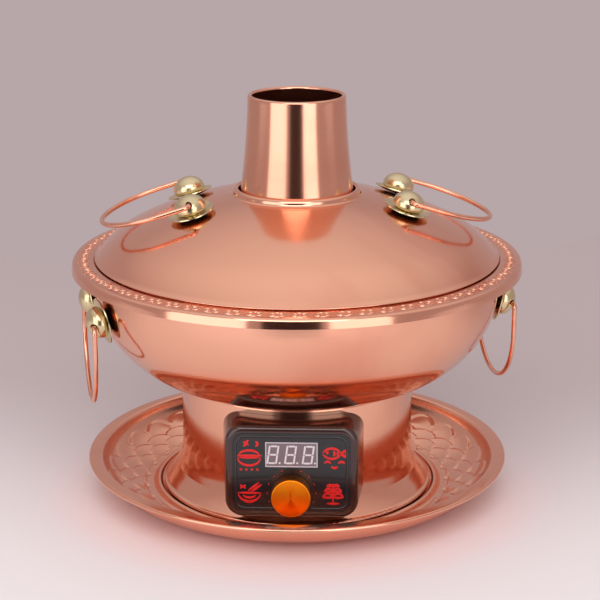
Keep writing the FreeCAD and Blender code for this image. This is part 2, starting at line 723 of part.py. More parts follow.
# bowl: floor, two body curves, mouth and rim with a turned band
rim_drop = arctan(z.rim_fall / (z.rim_radius - z.bowl_radius + z.bowl_sheet))
rim_bend_r = z.rim_radius - z.rim_bend - z.bowl_sheet
rim_bend_up = z.rim_level - z.rim_fall + 0.1 - z.rim_bend - z.bowl_sheet
band_lean = -31.0
mouth_r = z.bowl_radius + z.mouth_bend * (1 - sine(rim_drop))
mouth_up = z.rim_level - z.bowl_sheet - (z.mouth_bend + z.bowl_sheet) * sine(rim_drop)
outer_fold_r = rim_bend_r + z.rim_bend * cosine(band_lean)
outer_fold_up = rim_bend_up + z.rim_bend * sine(band_lean)
bowl_shell = spun("bowl_shell", [
    (0.0, z.bowl_floor, -90.0),
    (z.floor_radius, z.bowl_floor, -90.0),
    (z.join_radius, z.join_level, -z.join_lean),
    (z.bowl_radius, z.belly_level, 0.0),
    (z.bowl_radius, mouth_up - z.mouth_bend, 0.0),
    (mouth_r, mouth_up, -93.8),
    (rim_bend_r, rim_bend_up + z.rim_bend, -93.8),
    (outer_fold_r, outer_fold_up, -211.0),
    (outer_fold_r - z.band_inset, z.band_level, -211.0),
], z.bowl_sheet)

# chimney: rolled lip, slim upper tube, wider foot brazed on the bowl floor
floor_top = z.bowl_floor + z.bowl_sheet
foot_top = floor_top + z.tube_wall
lip_up = z.chimney_level - z.chimney_roll
chimney = spun("chimney_tube", [
    (z.chimney_top - z.chimney_roll * 2, lip_up, 180.0),
    (z.chimney_top - z.chimney_roll, z.chimney_level, 90.0),
    (z.chimney_top, lip_up, 1.4),
    (z.chimney_knee, z.knee_level, 10.5),
    (z.chimney_low, z.foot_level, 0.0),
    (z.chimney_low, foot_top + z.foot_bend, 0.0),
    (z.chimney_low + z.foot_bend, foot_top, 90.0),
    (z.foot_flange, foot_top, 90.0),
], z.tube_wall)
node("chimney", chimney)


def crown_level(r):
    """Height of the lid crown at a radius."""
    across = r - z.crown_offset
    return z.crown_centre + root(z.crown_bend * z.crown_bend - across * across)


def crown_lean(r):
    """Angle of the lid crown's outward normal at a radius."""
    across = r - z.crown_offset
    return 90 - arctan(across / root(z.crown_bend * z.crown_bend - across * across))


# lid: collar, crown, shoulder, edge bead and the skirt that drops into the mouth
bead_up = z.rim_level + z.lid_gap
bead_half = z.lid_bead / 2
collar_turn = z.collar_radius + 1.7
collar_foot = crown_level(collar_turn) + 1.95
lid_shell = spun("lid_shell", [
    (z.collar_radius, collar_foot + z.collar_upright, 0.0),
    (z.collar_radius, collar_foot, 0.0),
    (collar_turn, crown_level(collar_turn), crown_lean(collar_turn)),
    (z.shoulder_radius, crown_level(z.shoulder_radius), crown_lean(z.shoulder_radius)),
    (z.skirt_turn, z.lid_turn_level, 38.5),
], z.lid_sheet, edge=[
    (z.lid_radius - bead_half, bead_up + z.lid_bead, -180.0),
    (z.lid_radius - bead_half, bead_up, 0.0),
    (z.skirt_turn, bead_up, 0.0),
    (z.skirt_turn, z.skirt_foot, 0.0),
    (z.skirt_turn - z.lid_sheet, z.skirt_foot, 0.0),
])

# knob and dished washer in their own frame: foot on the sheet, axis +Z
neck_top = z.knob_base + 1.2
cap_r = z.knob_radius * 0.76
cap_up = z.knob_belly + (z.knob_height - z.knob_belly) * 0.66
knob_form = turned("knob_form", [
    (z.knob_screw + 0.05, z.knob_base, 0.0),
    (z.knob_neck, z.knob_base, 0.0),
    (z.knob_neck + 0.3, neck_top, 112.0),
    (z.knob_radius, z.knob_belly, 52.5),
    (cap_r, cap_up, 2 * arctan((z.knob_height - cap_up) / cap_r)),
    (0.0, z.knob_height, 0.0),
    (0.0, z.knob_base + 7.5, 0.0),
    (z.knob_screw + 0.05, z.knob_base + 7.5, 0.0),
])
cup_form = turned("cup_form", [
    (z.knob_screw + z.screw_play, z.cup_lift, 0.0),
    (z.cup_seat, z.cup_lift, 22.0),
    (z.cup_radius, z.cup_rise - z.cup_sheet, 0.0),
    (z.cup_radius - 0.3, z.cup_rise, -22.0),
    (z.cup_seat - 0.3, z.cup_lift + z.cup_sheet, 0.0),
    (z.knob_screw + z.screw_play, z.cup_lift + z.cup_sheet, 0.0),
])
knob_screw_form = fused([
    rod(z.knob_screw, z.knob_base + 6.5 + 2.2, 0.0, 0.0, -2.2),
    rod(z.knob_screw * 1.9, 1.8, 0.0, 0.0, -3.9),
])
screw_bore = rod(z.knob_screw + z.screw_play, 8.0, 0.0, 0.0, -4.0)


class Row:
    """Two rows of two knobs on a curved wall, one row each side of the pot."""

    def __init__(self, reach, level, row_turn, centre_r, centre_up, bend, wire):
        self.reach = reach
        self.level = level
        self.row_turn = row_turn
        self.wire = wire
        knob_r = length(reach, z.knob_spread)
        across = knob_r - centre_r
        rise = level - centre_up
        distance = length(across, rise)
        self.foot_r = centre_r + bend * across / distance
        self.foot_up = centre_up + bend * rise / distance
        self.tilt = 90 - arctan(rise / across)
        self.swing = arctan(z.knob_spread / reach)

    def copies(self, form):
        """A form set on the wall at each of the four knob places."""
        tilted = place(turn(group([form]), (0, 1, 0), self.tilt), self.foot_r, 0.0, self.foot_up)
        return [around([tilted], self.row_turn + half_turn + self.swing * side)
                for half_turn in (0, 180) for side in (1, -1)]

    def bores(self):
        """Bores for the ring ends, one from the outer side of each knob."""
        placed = []
        for half_turn in (0, 180):
            for side in (1, -1):
                bore = doc.addObject("Part::Cylinder", "bore")
                bind(bore, "Radius", self.wire + z.eye_play)
                bind(bore, "Height", 10.0)
                turn(bore, (1, 0, 0), -90.0 * side)
                place(bore, self.reach, z.eye_start * side, self.level)
                placed.append(around([bore], self.row_turn + half_turn))
        return placed


lid_row = Row(z.lid_pivot_reach, z.lid_pivot_level, z.lid_row_turn,
              z.crown_offset, z.crown_centre, z.crown_bend, z.lid_wire)
bowl_row = Row(z.bowl_pivot_reach, z.bowl_pivot_level, z.bowl_row_turn,
               z.bowl_radius - z.belly_bend, z.belly_level, z.belly_bend, z.bowl_wire)
node("lid", cut(lid_shell, fused(lid_row.copies(screw_bore))))
node("bowl", cut(bowl_shell, fused(bowl_row.copies(screw_bore))))
for owner, row in (("lid", lid_row), ("bowl", bowl_row)):
    node(owner + "_knobs", group(cut(knob, bore) for knob, bore in zip(row.copies(knob_form), row.bores())))
    node(owner + "_cup_washers", group(row.copies(cup_form)))
    node(owner + "_knob_screws", group(row.copies(knob_screw_form)))

# rings: the path's reach is turned to the outward droop, then set at the pivot of its row
for owner, row, droop in (("lid", lid_row, z.lid_ring_droop), ("bowl", bowl_row, size(90.0))):
    for side, half_turn in (("right", 0), ("left", 180)):
        name = "%s_ring_%s" % (owner, side)
        ring = wire_ring(name + "_form", row.wire)
        drooped = turn(group([ring]), (1, 0, 0), -droop)
        faced = turn(group([drooped]), (0, 0, 1), -90.0)
        node(name, around([place(faced, row.reach, 0.0, row.level)], row.row_turn + half_turn))

# studs, posts, base plate and feet under the bowl
plate_top = z.plate_level + z.plate_sheet
post_top = under - z.drum_sheet
node("bowl_studs", group(rod(z.stud_radius, z.stud_length, x, y, z.bowl_floor - z.stud_length)
                         for x, y in posts_at))
node("tie_posts", group(
    cut(rod(z.post_radius, post_top - plate_top, x, y, plate_top), fused([
        rod(z.post_hole, z.stud_length + 1.0, x, y, z.bowl_floor - z.stud_length - 1.0),
        rod(z.base_screw + 0.1, 13.0, x, y, plate_top - 0.5),
    ])) for x, y in posts_at))
vents = [rod(z.vent_radius, 4.0, ring * cosine(angle), ring * sine(angle), z.plate_level - 1.0)
         for ring in (z.vent_circle, z.vent_circle * 1.5) for angle in range(0, 360, 30)]
plate_holes = [rod(z.base_screw + 0.2, 4.0, x, y, z.plate_level - 1.0) for x, y in posts_at]
pillars_at = [(z.board_half_x * side - 4.0 * side, y) for side in (-1, 1)
              for y in (z.board_front + 4.0, z.board_back - 4.0)]
node("base_plate", cut(rod(z.plate_radius, z.plate_sheet, 0.0, 0.0, z.plate_level),
                       fused(vents + plate_holes)))
foot_bottom = tray_floor + z.rest_gap
foot_recess = z.plate_level - 2.2
node("rubber_feet", group(
    cut(rod(z.foot_radius, z.plate_level - foot_bottom, x, y, foot_bottom), fused([
        rod(z.base_screw * 2.3, foot_recess - foot_bottom + 0.5, x, y, foot_bottom - 0.5),
        rod(z.base_screw + 0.2, z.plate_level - foot_bottom + 1.0, x, y, foot_bottom),
    ])) for x, y in posts_at))
node("foot_screws", group(
    fused([
        rod(z.base_screw * 1.9, 2.2, x, y, foot_recess - 2.2),
        rod(z.base_screw, plate_top + 11.5 - foot_recess + 1.0, x, y, foot_recess - 1.0),
    ]) for x, y in posts_at))

# heating plate pressed to the bowl floor by three studs, with the element in a groove
heater_low = z.bowl_floor - z.heater_thick
studs_at = [(z.heater_stud_circle * cosine(angle), z.heater_stud_circle * sine(angle))
            for angle in (90, 210, 330)]
groove = doc.addObject("Part::Torus", "groove")
bind(groove, "Radius1", z.element_circle)
bind(groove, "Radius2", z.element_radius + 0.1)
place(groove, 0.0, 0.0, heater_low)
node("heating_plate", cut(rod(z.heater_radius, z.heater_thick - 0.05, 0.0, 0.0, heater_low), fused(
    [groove, rod(z.heater_hole, z.heater_thick + 2.0, 0.0, 0.0, heater_low - 1.0)]
    + [rod(z.heater_stud + 0.3, z.heater_thick + 2.0, x, y, heater_low - 1.0) for x, y in studs_at])))
element = doc.addObject("Part::Torus", "element")
bind(element, "Radius1", z.element_circle)
bind(element, "Radius2", z.element_radius)
bind(element, "Angle3", z.element_turn)
place(element, 0.0, 0.0, heater_low)
ends_at = [(z.element_circle * cosine(angle), z.element_circle * sine(angle))
           for angle in (size(0.0), z.element_turn)]
legs = [rod(z.element_radius, z.leg_length, x, y, heater_low - z.leg_length) for x, y in ends_at]
tails = [rod(z.element_radius * 0.35, z.tail_length, x, y, heater_low - z.tail_length) for x, y in ends_at]
node("heating_element", turn(group([fused([element] + legs + tails)]), (0, 0, 1), 110.0))
node("heater_studs", group(rod(z.heater_stud, z.heater_thick + z.heater_stud_end, x, y, heater_low - z.heater_stud_end)
                           for x, y in studs_at))
node("heater_nuts", group(
    cut(hexagon(z.nut_corner, z.nut_thick, x, y, heater_low - z.nut_thick),
        rod(z.heater_stud + 0.05, z.nut_thick + 2.0, x, y, heater_low - z.nut_thick - 1.0))
    for x, y in studs_at))
probe_low = z.bowl_floor - z.probe_length
node("temperature_probe", fused([
    rod(z.probe_radius, z.probe_length - 0.1, 0.0, 0.0, probe_low),
    rod(z.probe_radius + 3.0, 1.5, 0.0, 0.0, probe_low),
]))
cutout_low = heater_low - z.cutout_length
node("thermal_cutout", fused([
    rod(z.probe_radius, z.cutout_length, 0.0, -31.0, cutout_low),
    block(-1.2, 1.2, -36.5, -35.0, cutout_low - 7.0, cutout_low + 1.0),
    block(-1.2, 1.2, -27.0, -25.5, cutout_low - 7.0, cutout_low + 1.0),
]))

# power board with its parts
board_top = z.board_level + z.board_thick
node("board_pillars", group(cut(rod(3.0, z.board_level - plate_top, x, y, plate_top),
                                rod(1.3, 6.0, x, y, z.board_level - 5.0)) for x, y in pillars_at))
node("power_board", cut(block(-z.board_half_x, z.board_half_x, z.board_front, z.board_back,
                              z.board_level, board_top),
                        fused([rod(1.6, 4.0, x, y, z.board_level - 1.0) for x, y in pillars_at])))
node("board_screws", group(fused([
    rod(1.2, 5.5, x, y, board_top - 4.5),
    rod(2.6, 1.6, x, y, board_top),
]) for x, y in pillars_at))
relay_left = 9.0 - z.board_half_x
relay_front = z.board_front + 8.0
node("relay", block(relay_left, relay_left + 18.0, relay_front, relay_front + 18.0, board_top, board_top + 16.0))
node("filter_capacitors", group([
    rod(6.0, 18.0, x, z.board_back - 14.5, board_top) for x in (4.0, -13.0)
]))
core_right = z.board_half_x - 15.0
core_front = z.board_front + 6.0
transformer_core = block(core_right - 20.0, core_right, core_front, core_front + 22.0, board_top, board_top + 17.0)
node("transformer", fused([transformer_core, rod(8.5, 20.0, core_right - 10.0, core_front + 11.0, board_top)]))
sink_left = z.board_half_x - 12.0
sink_back = z.board_back - 8.0
fins = [block(sink_left + 2.6 * step, sink_left + 1.2 + 2.6 * step, sink_back - 18.0, sink_back,
              board_top + 2.0, board_top + 22.0) for step in range(4)]
node("heat_sink", fused([block(sink_left, sink_left + 9.0, sink_back - 18.0, sink_back,
                               board_top, board_top + 2.5)] + fins))
node("terminal_block", cut(block(-12.0, 12.0, z.board_back - 7.0, z.board_back - 1.0, board_top, board_top + 9.0),
                           fused([forward_rod(1.5, z.board_back, z.board_back - 5.0, offset, board_top + 4.0)
                                  for offset in (-8.0, 0.0, 8.0)])))

# mains inlet through the back of the pedestal
well_low = inlet_middle - z.well_height
well_high = inlet_middle + z.well_height
drum_form_stations = [
    (0.0, z.bowl_floor + 20.0, 0.0),
    (z.drum_radius + z.box_seat, z.bowl_floor + 20.0, 0.0),
    (z.drum_radius + z.box_seat, z.drum_waist, 2.1),
    (z.drum_low_radius + z.box_seat, z.drum_low, 23.9),
    (z.flare_radius + z.box_seat + 0.1, z.flare_level, 0.0),
    (z.skirt_radius + z.box_seat + 0.6, z.skirt_level, 0.0),
    (z.drum_edge + 1.0, 0.0, 0.0),
    (0.0, 0.0, 0.0),
]
drum_form = turned("drum_form", drum_form_stations)
inlet_outer = slab("inlet_outer", z.inlet_half, z.inlet_low, z.inlet_high, z.inlet_corner,
                   -z.inlet_back, z.inlet_back - z.box_root)
well_body = block(-(z.well_half + z.inlet_wall), z.well_half + z.inlet_wall, z.well_floor - z.inlet_wall,
                  z.inlet_back - 4.0, well_low - z.inlet_wall, well_high + z.inlet_wall)
inlet_holes = [forward_rod(1.7, z.inlet_back + 1.0, z.box_root, inlet_screw_x * side, inlet_middle)
               for side in (-1, 1)]
inlet_holes += [forward_rod(3.4, z.inlet_back + 1.0, z.inlet_back - 2.4, inlet_screw_x * side, inlet_middle)
                for side in (-1, 1)]
well = block(-z.well_half, z.well_half, z.well_floor, z.inlet_back + 1.0, well_low, well_high)
PINS = ((-7.0, 2.6), (7.0, 2.6), (0.0, -3.2))
pin_holes = [forward_rod(2.05, z.well_floor + 1.0, z.well_floor - 4.0, x, inlet_middle + up)
             for x, up in PINS]
node("inlet_socket", cut(fused([cut(inlet_outer, drum_form), well_body]),
                         fused([well] + inlet_holes + pin_holes)))
node("inlet_pins", group(forward_rod(2.0, z.well_floor + 13.0, z.well_floor - 9.0, x, inlet_middle + up)
                         for x, up in PINS))
node("inlet_screws", group(fused([
    forward_rod(3.0, z.inlet_back - 0.4, z.inlet_back - 2.4, inlet_screw_x * side, inlet_middle),
    forward_rod(1.5, z.inlet_back - 1.4, z.inlet_back - 19.0, inlet_screw_x * side, inlet_middle),
]) for side in (-1, 1)))
nut_back = z.inlet_back - 14.4


def flat_nut(corner, bore, thick, back, x, up):
    """A hexagonal nut with its axis along Y."""
    blank = doc.addObject("Part::Prism", "nut")
    blank.Polygon = 6
    bind(blank, "Circumradius", corner)
    bind(blank, "Height", thick)
    turn(blank, (1, 0, 0), 90.0)
    place(blank, x, back, up)
    return cut(blank, forward_rod(bore, back + 1.0, back - thick - 1.0, x, up))


node("inlet_nuts", group(flat_nut(3.3, 1.55, size(2.4), nut_back, inlet_screw_x * side, inlet_middle)
                         for side in (-1, 1)))

# control box: hollow moulded housing with bosses, its back follows the pedestal
case_outer = tapered("case_outer", [
    (z.box_root, z.box_root_half, z.box_low, z.box_high, z.box_corner),
    (z.box_front, z.box_half, z.box_low, z.box_high, z.box_corner),
])
doc.recompute()
front_edges = [
    "Edge%d" % (number + 1) for number, edge in enumerate(case_outer.Shape.Edges)
    if all(abs(vertex.Y + z.box_front.value) < 1e-4 for vertex in edge.Vertexes)
]
rounding = case_outer.newObject("PartDesign::Fillet", "case_rounding")
rounding.Base = (case_outer.Group[-2] if case_outer.Group[-1] == rounding else case_outer.Tip, front_edges)
bind(rounding, "Radius", z.box_round)
inner_front = z.box_front - z.box_wall
case_inner = tapered("case_inner", [
    (z.box_root - 1.0, z.box_root_half - z.box_wall, z.box_low + z.box_wall, z.box_high - z.box_wall,
     z.box_corner - z.box_wall),
    (inner_front, z.box_half - z.box_wall, z.box_low + z.box_wall, z.box_high - z.box_wall,
     z.box_corner - z.box_wall),
])
bosses = [forward_rod(z.boss_radius, -inner_front + z.panel_board, -inner_front - 0.5, z.boss_x * side, height)
          for side in (-1, 1) for height in (z.clamp_low, z.clamp_high)]
clamp_bosses = [forward_rod(z.boss_radius, -z.box_root, -inner_front - 0.5, z.clamp_x * side, height)
                for side in (-1, 1) for height in clamp_heights]
face_low = z.box_low + z.face_margin
face_high = z.box_high - z.face_margin
face_half = z.box_half - z.face_margin
face_corner = z.box_corner - z.face_margin
face_back = z.box_front - z.face_depth
recess = slab("recess", face_half, face_low, face_high, face_corner, face_back, z.face_depth + 2.0)
display_slot = block(-(z.display_half + z.display_fit), z.display_half + z.display_fit,
                     -z.box_front - 2.0, -inner_front + 1.0,
                     z.display_low - z.display_fit, z.display_high + z.display_fit)
bush_hole = forward_rod(z.bush_radius + 0.2, -inner_front + 1.0, -z.box_front - 2.0, 0.0, z.dial_level)
boss_holes = [forward_rod(1.25, -inner_front + z.panel_board + 1.0, -inner_front + 1.5, z.boss_x * side, height)
              for side in (-1, 1) for height in (z.clamp_low, z.clamp_high)]
clamp_holes = [forward_rod(z.box_screw + 0.05, -z.box_root, -inner_front + 6.0, z.clamp_x * side, height)
               for side in (-1, 1) for height in clamp_heights]
case_tools = fused([drum_form, recess, display_slot, bush_hole] + boss_holes + clamp_holes)
node("control_box", cut(fused([cut(case_outer, case_inner)] + bosses + clamp_bosses), case_tools))
face_plate = slab("face_blank", face_half - z.face_fit, face_low + z.face_fit, face_high - z.face_fit,
                  face_corner - z.face_fit, face_back, z.face_depth + z.face_proud)
node("face_plate", cut(face_plate, fused([
    block(-(z.display_half + z.display_fit), z.display_half + z.display_fit, -z.box_front - 3.0,
          -inner_front, z.display_low - z.display_fit, z.display_high + z.display_fit),
    forward_rod(z.bush_radius + 0.2, -inner_front, -z.box_front - 3.0, 0.0, z.dial_level),
])))

# display module with raised slanted digits
display_face = z.box_front + z.display_proud
display_back = display_face - z.display_depth
pins = [forward_rod(0.3, -display_back + 4.0, -display_back - 1.0, -12.0 + 4.0 * column, height)
        for column in range(7) for height in (z.display_low + 2.0, z.display_high - 2.0)]
node("display", fused([block(-z.display_half, z.display_half, -display_face, -display_back,
                             z.display_low, z.display_high)] + pins))
display_middle = (z.display_low + z.display_high) / 2
half_width = z.digit_width / 2
half_height = z.digit_height / 2
stroke = z.digit_stroke
bar_play = 0.25


def bar(x0, x1, z0, z1):
    """One raised stroke of a digit."""
    return block(x0, x1, -z.digit_thick, 0.0, z0, z1)


def leaned(item, x, up):
    """A stroke leaned over by the slant of the digits."""
    turned_item = turn(group([item]), (0, 1, 0), z.digit_slant)
    return place(turned_item, x, -display_face, up)


strokes = []
for column in (-1, 0, 1):
    middle = z.digit_pitch * column - 0.6
    for shelf in (-1, 0, 1):
        level = (half_height - stroke / 2) * shelf
        shift = level * sine(z.digit_slant)
        flat = bar(stroke - half_width + bar_play, half_width - stroke - bar_play, -stroke / 2, stroke / 2)
        strokes.append(place(flat, middle + shift - half_width + stroke + bar_play, -display_face - z.digit_thick,
                             display_middle + level - stroke / 2))
    for side in (-1, 1):
        for shelf in (-1, 1):
            tall = bar(-stroke / 2, stroke / 2, bar_play - half_height / 2, half_height / 2 - bar_play)
            level = half_height / 2 * shelf
            across = (half_width - stroke / 2) * side + level * sine(z.digit_slant)
            strokes.append(leaned(tall, middle + across, display_middle + level))
    dot = forward_rod(0.75, -display_face, -display_face - z.digit_thick,
                      middle + half_width + 1.0, display_middle - half_height + 0.75)
    strokes.append(dot)
node("display_digits", group(strokes))

# display board, potentiometer, shaft and dial
board_back = -inner_front + z.panel_board
notch = z.boss_radius + 0.6
board_low = z.clamp_low - 4.0
board_high = z.clamp_high + 4.0
board_cuts = [forward_rod(1.6, board_back + 3.0, board_back - 1.0, z.boss_x * side, height)
              for side in (-1, 1) for height in clamp_heights]
for side in (-1, 1):
    left = z.clamp_x * side - notch
    right = z.clamp_x * side + notch
    board_cuts.append(block(left, right, board_back - 1.0, board_back + 3.0, board_low - 1.0, z.clamp_low + notch))
    board_cuts.append(block(left, right, board_back - 1.0, board_back + 3.0, z.clamp_high - notch, board_high + 1.0))
board_side = z.boss_x + 4.0
node("display_board", cut(block(-board_side, board_side, board_back, board_back + z.board_thick, board_low, board_high),
                          fused(board_cuts)))
node("display_board_screws", group(fused([
    forward_rod(1.15, board_back + z.board_thick + 0.5, board_back - 7.0, z.boss_x * side, height),
    forward_rod(2.4, board_back + z.board_thick + 1.6, board_back + z.board_thick, z.boss_x * side, height),
]) for side in (-1, 1) for height in clamp_heights))
bush_front = -z.box_front - 4.5
pot_back = -inner_front + z.pot_depth
shaft_play = z.shaft_radius + z.bush_play
pot_case = fused([
    forward_rod(z.pot_radius, pot_back, -inner_front + 0.05, 0.0, z.dial_level),
    forward_rod(z.bush_radius, pot_back - 1.0, bush_front, 0.0, z.dial_level),
])
rotor_room = forward_rod(z.pot_radius - 2.0, pot_back - 1.5, pot_back - 5.5, 0.0, z.dial_level)
node("potentiometer", cut(pot_case, fused([
    rotor_room, forward_rod(shaft_play, pot_back - 2.0, bush_front - 1.0, 0.0, z.dial_level)])))
node("potentiometer_nut", flat_nut(z.bush_radius * 1.5, z.bush_radius + 0.05, size(2.4),
                                   -z.box_front - z.face_proud, size(0.0), z.dial_level))
dial_back = -z.box_front - z.face_proud - z.dial_gap
dial_front = dial_back - z.dial_depth
node("dial_shaft", fused([
    forward_rod(z.shaft_radius, pot_back - 3.5, dial_front + 2.0, 0.0, z.dial_level),
    forward_rod(z.pot_radius - 2.6, pot_back - 2.4, pot_back - 4.4, 0.0, z.dial_level),
]))
dial_blank = turned("dial_blank", [
    (0.0, 0.0, 0.0),
    (z.dial_radius - 0.5, 0.0, 0.0),
    (z.dial_radius, 0.5, 0.0),
    (z.dial_radius, z.dial_depth - 0.9, 90.0),
    (z.dial_radius - 0.9, z.dial_depth, 0.0),
    (0.0, z.dial_depth, 0.0),
])
dial_cuts = [
    rod(z.dial_recess, z.dial_recess_depth + 1.0, 0.0, 0.0, -1.0),
    rod(z.shaft_radius + 0.05, z.dial_depth - 1.9, 0.0, 0.0, 0.0),
    block(-0.4, 0.4, z.dial_radius - 4.6, z.dial_radius - 1.6, z.dial_depth - 0.35, z.dial_depth + 1.0),
]
dial = turn(group([cut(dial_blank, fused(dial_cuts))]), (1, 0, 0), 90.0)
node("dial", place(dial, 0.0, dial_back, z.dial_level))

# clamp bars inside the pedestal and the screws that hold the control box
drum_inside = z.drum_radius - z.drum_sheet
bar_front = 0.15 - root(drum_inside * drum_inside - z.bar_half * z.bar_half)
node("clamp_bars", group(
    cut(block(-z.bar_half, z.bar_half, bar_front, bar_front + z.bar_thick,
              height - z.bar_high / 2, height + z.bar_high / 2), fused([
                  forward_rod(z.box_screw + 0.3, bar_front + 5.0, bar_front - 1.0, z.clamp_x * side, height)
                  for side in (-1, 1)])) for height in clamp_heights))
node("box_screws", group(fused([
    forward_rod(z.box_screw * 1.8, bar_front + z.bar_thick + 2.2, bar_front + z.bar_thick,
                z.clamp_x * side, height),
    forward_rod(z.box_screw, bar_front + z.bar_thick + 1.0, bar_front - 18.0, z.clamp_x * side, height),
]) for side in (-1, 1) for height in clamp_heights))

doc.recompute()
for item in doc.Objects:
    if "Invalid" in item.State or "Error" in item.State:
        raise RuntimeError("%s is not built: %s" % (item.Label, item.State))
os.makedirs("parts", exist_ok=True)
for item in NODES:
    shape = item.Shape
    if shape.isNull() or not shape.isValid() or not shape.Solids:
        raise RuntimeError("%s has no sound shape" % item.Label)
    shape.exportStep("parts/%s.step" % item.Label)
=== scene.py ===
"""Copper chimney hot pot: finished surfaces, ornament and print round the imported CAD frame.

Shapes are worked out in millimetres and MM turns them into metres; the stage is in metres.
"""
import json
import math

import bpy
import numpy as np
from bpy.props import FloatProperty, FloatVectorProperty, IntProperty, PointerProperty
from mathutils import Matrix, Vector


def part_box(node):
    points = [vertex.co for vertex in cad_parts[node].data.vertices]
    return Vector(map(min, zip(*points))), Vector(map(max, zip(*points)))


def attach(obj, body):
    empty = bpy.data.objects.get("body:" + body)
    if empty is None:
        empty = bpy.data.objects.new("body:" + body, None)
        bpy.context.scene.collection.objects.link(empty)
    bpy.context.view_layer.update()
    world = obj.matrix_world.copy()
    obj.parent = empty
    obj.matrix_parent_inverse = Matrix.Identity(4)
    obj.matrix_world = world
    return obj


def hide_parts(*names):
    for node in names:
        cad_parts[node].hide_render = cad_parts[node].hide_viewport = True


bl_info = {
    "name": "Chimney Hot Pot",
    "version": (1, 0, 0),
    "blender": (4, 5, 0),
    "location": "View3D > Sidebar > Hot Pot",
    "description": "Surfaces, ornament and finishes of a copper chimney hot pot",
    "category": "Add Mesh",
}

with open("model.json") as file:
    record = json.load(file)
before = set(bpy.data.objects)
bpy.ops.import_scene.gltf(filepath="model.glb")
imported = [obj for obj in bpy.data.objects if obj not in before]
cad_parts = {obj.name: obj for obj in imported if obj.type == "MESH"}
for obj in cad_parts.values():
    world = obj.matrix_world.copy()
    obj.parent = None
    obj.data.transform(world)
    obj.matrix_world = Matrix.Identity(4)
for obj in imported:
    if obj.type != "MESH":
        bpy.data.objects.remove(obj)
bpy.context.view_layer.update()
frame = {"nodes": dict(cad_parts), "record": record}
MM = 0.001

# Degrees between the points of a sheet's hidden side.
BACK_BEND = 24.0

# Strokes: points across the half round section, angle where the taper of an end starts, and depth
# that they reach into the surface below.
SECTION_POINTS = 6
TAPER_START = 0.25
STROKE_ROOT = 0.08

# Rim of the bowl: it falls evenly outside its bend, and the scrolls are drawn for one radius.
RIM_BEND = 151.8
RIM_SLOPE = 0.0659
SCROLL_RADIUS = 157.0

# Height of the dial's axis, and radius of the dots round it.
DIAL_LEVEL = 34.0
DOT_RADIUS = 17.6


def length_property(name, description, default):
    """A length in millimetres."""
    return FloatProperty(
        name=name, description=description + ", in millimetres", default=default, soft_min=0.0)


def count_property(name, description, default):
    """A number of repeats round the pot."""
    return IntProperty(name=name, description=description, default=default, min=8)


def colour_property(name, description, default):
    """A linear colour."""
    return FloatVectorProperty(
        name=name, description=description, default=default, size=3, min=0.0, max=1.0,
        subtype="COLOR")


class HotPotSizes(bpy.types.PropertyGroup):
    """Sizes of the pieces made here."""

    tray_radius: length_property("Tray radius", "Outer radius of the tray", 161.7)
    scale_rise: length_property("Scale relief", "Height of the scallops on the tray", 0.85)
    scale_count: count_property("Scales", "Scallops in one row of the tray", 32)
    rim_radius: length_property("Rim radius", "Outer radius of the bowl rim", 170.0)
    rim_level: length_property("Rim height", "Height of the rim at the bowl mouth", 183.6)
    motif_count: count_property("Motifs", "Scroll motifs round the rim", 66)
    motif_rise: length_property("Motif relief", "Height of the scroll motifs", 0.6)
    lid_radius: length_property("Lid radius", "Outer radius of the lid bead", 152.6)
    collar_radius: length_property("Collar radius", "Outer radius of the lid collar", 44.6)
    chimney_top: length_property("Chimney radius", "Outer radius of the chimney top", 36.6)
    chimney_level: length_property("Chimney height", "Height of the chimney top", 305.0)
    print_thick: length_property("Print thickness", "Thickness of the printed marks", 0.06)


class HotPotColours(bpy.types.PropertyGroup):
    """Base colours of the finishes."""

    copper: colour_property("Copper", "Polished copper", (0.90, 0.465, 0.32))
    copper_deep: colour_property("Deep copper", "Copper where it has darkened", (0.72, 0.28, 0.17))
    brass: colour_property("Brass", "Polished brass of the knobs", (0.82, 0.70, 0.43))
    # The brown tint of this colour is a painted reflection of the copper around the box; its
    # darkness is the moulding's own.
    shell: colour_property("Control box", "Dark moulding of the control box", (0.030, 0.011, 0.009))
    face: colour_property("Face plate", "Face plate of the control box", (0.008, 0.009, 0.011))
    print_red: colour_property("Print", "Red print on the face plate", (0.80, 0.012, 0.012))
    dial: colour_property("Dial", "Orange anodised dial", (1.0, 0.36, 0.015))
    wall: colour_property("Backdrop", "Grey pink backdrop", (0.475, 0.385, 0.392))
    ceiling: colour_property("Ceiling", "Light of the studio straight above", (0.93, 0.88, 0.87))
    floor: colour_property("Floor", "Pale floor in front", (0.88, 0.85, 0.87))
    # Painted shade: the floor colour falls to this by the backdrop, where less light reaches it.
    floor_painted_shade: colour_property("Floor behind", "Floor by the backdrop", (0.595, 0.52, 0.53))
    # Painted glow: pink light from the copper tray painted onto the floor in front of it.
    floor_painted_glow: colour_property("Floor glow", "Floor colour close to the tray", (0.93, 0.78, 0.78))


# meshes


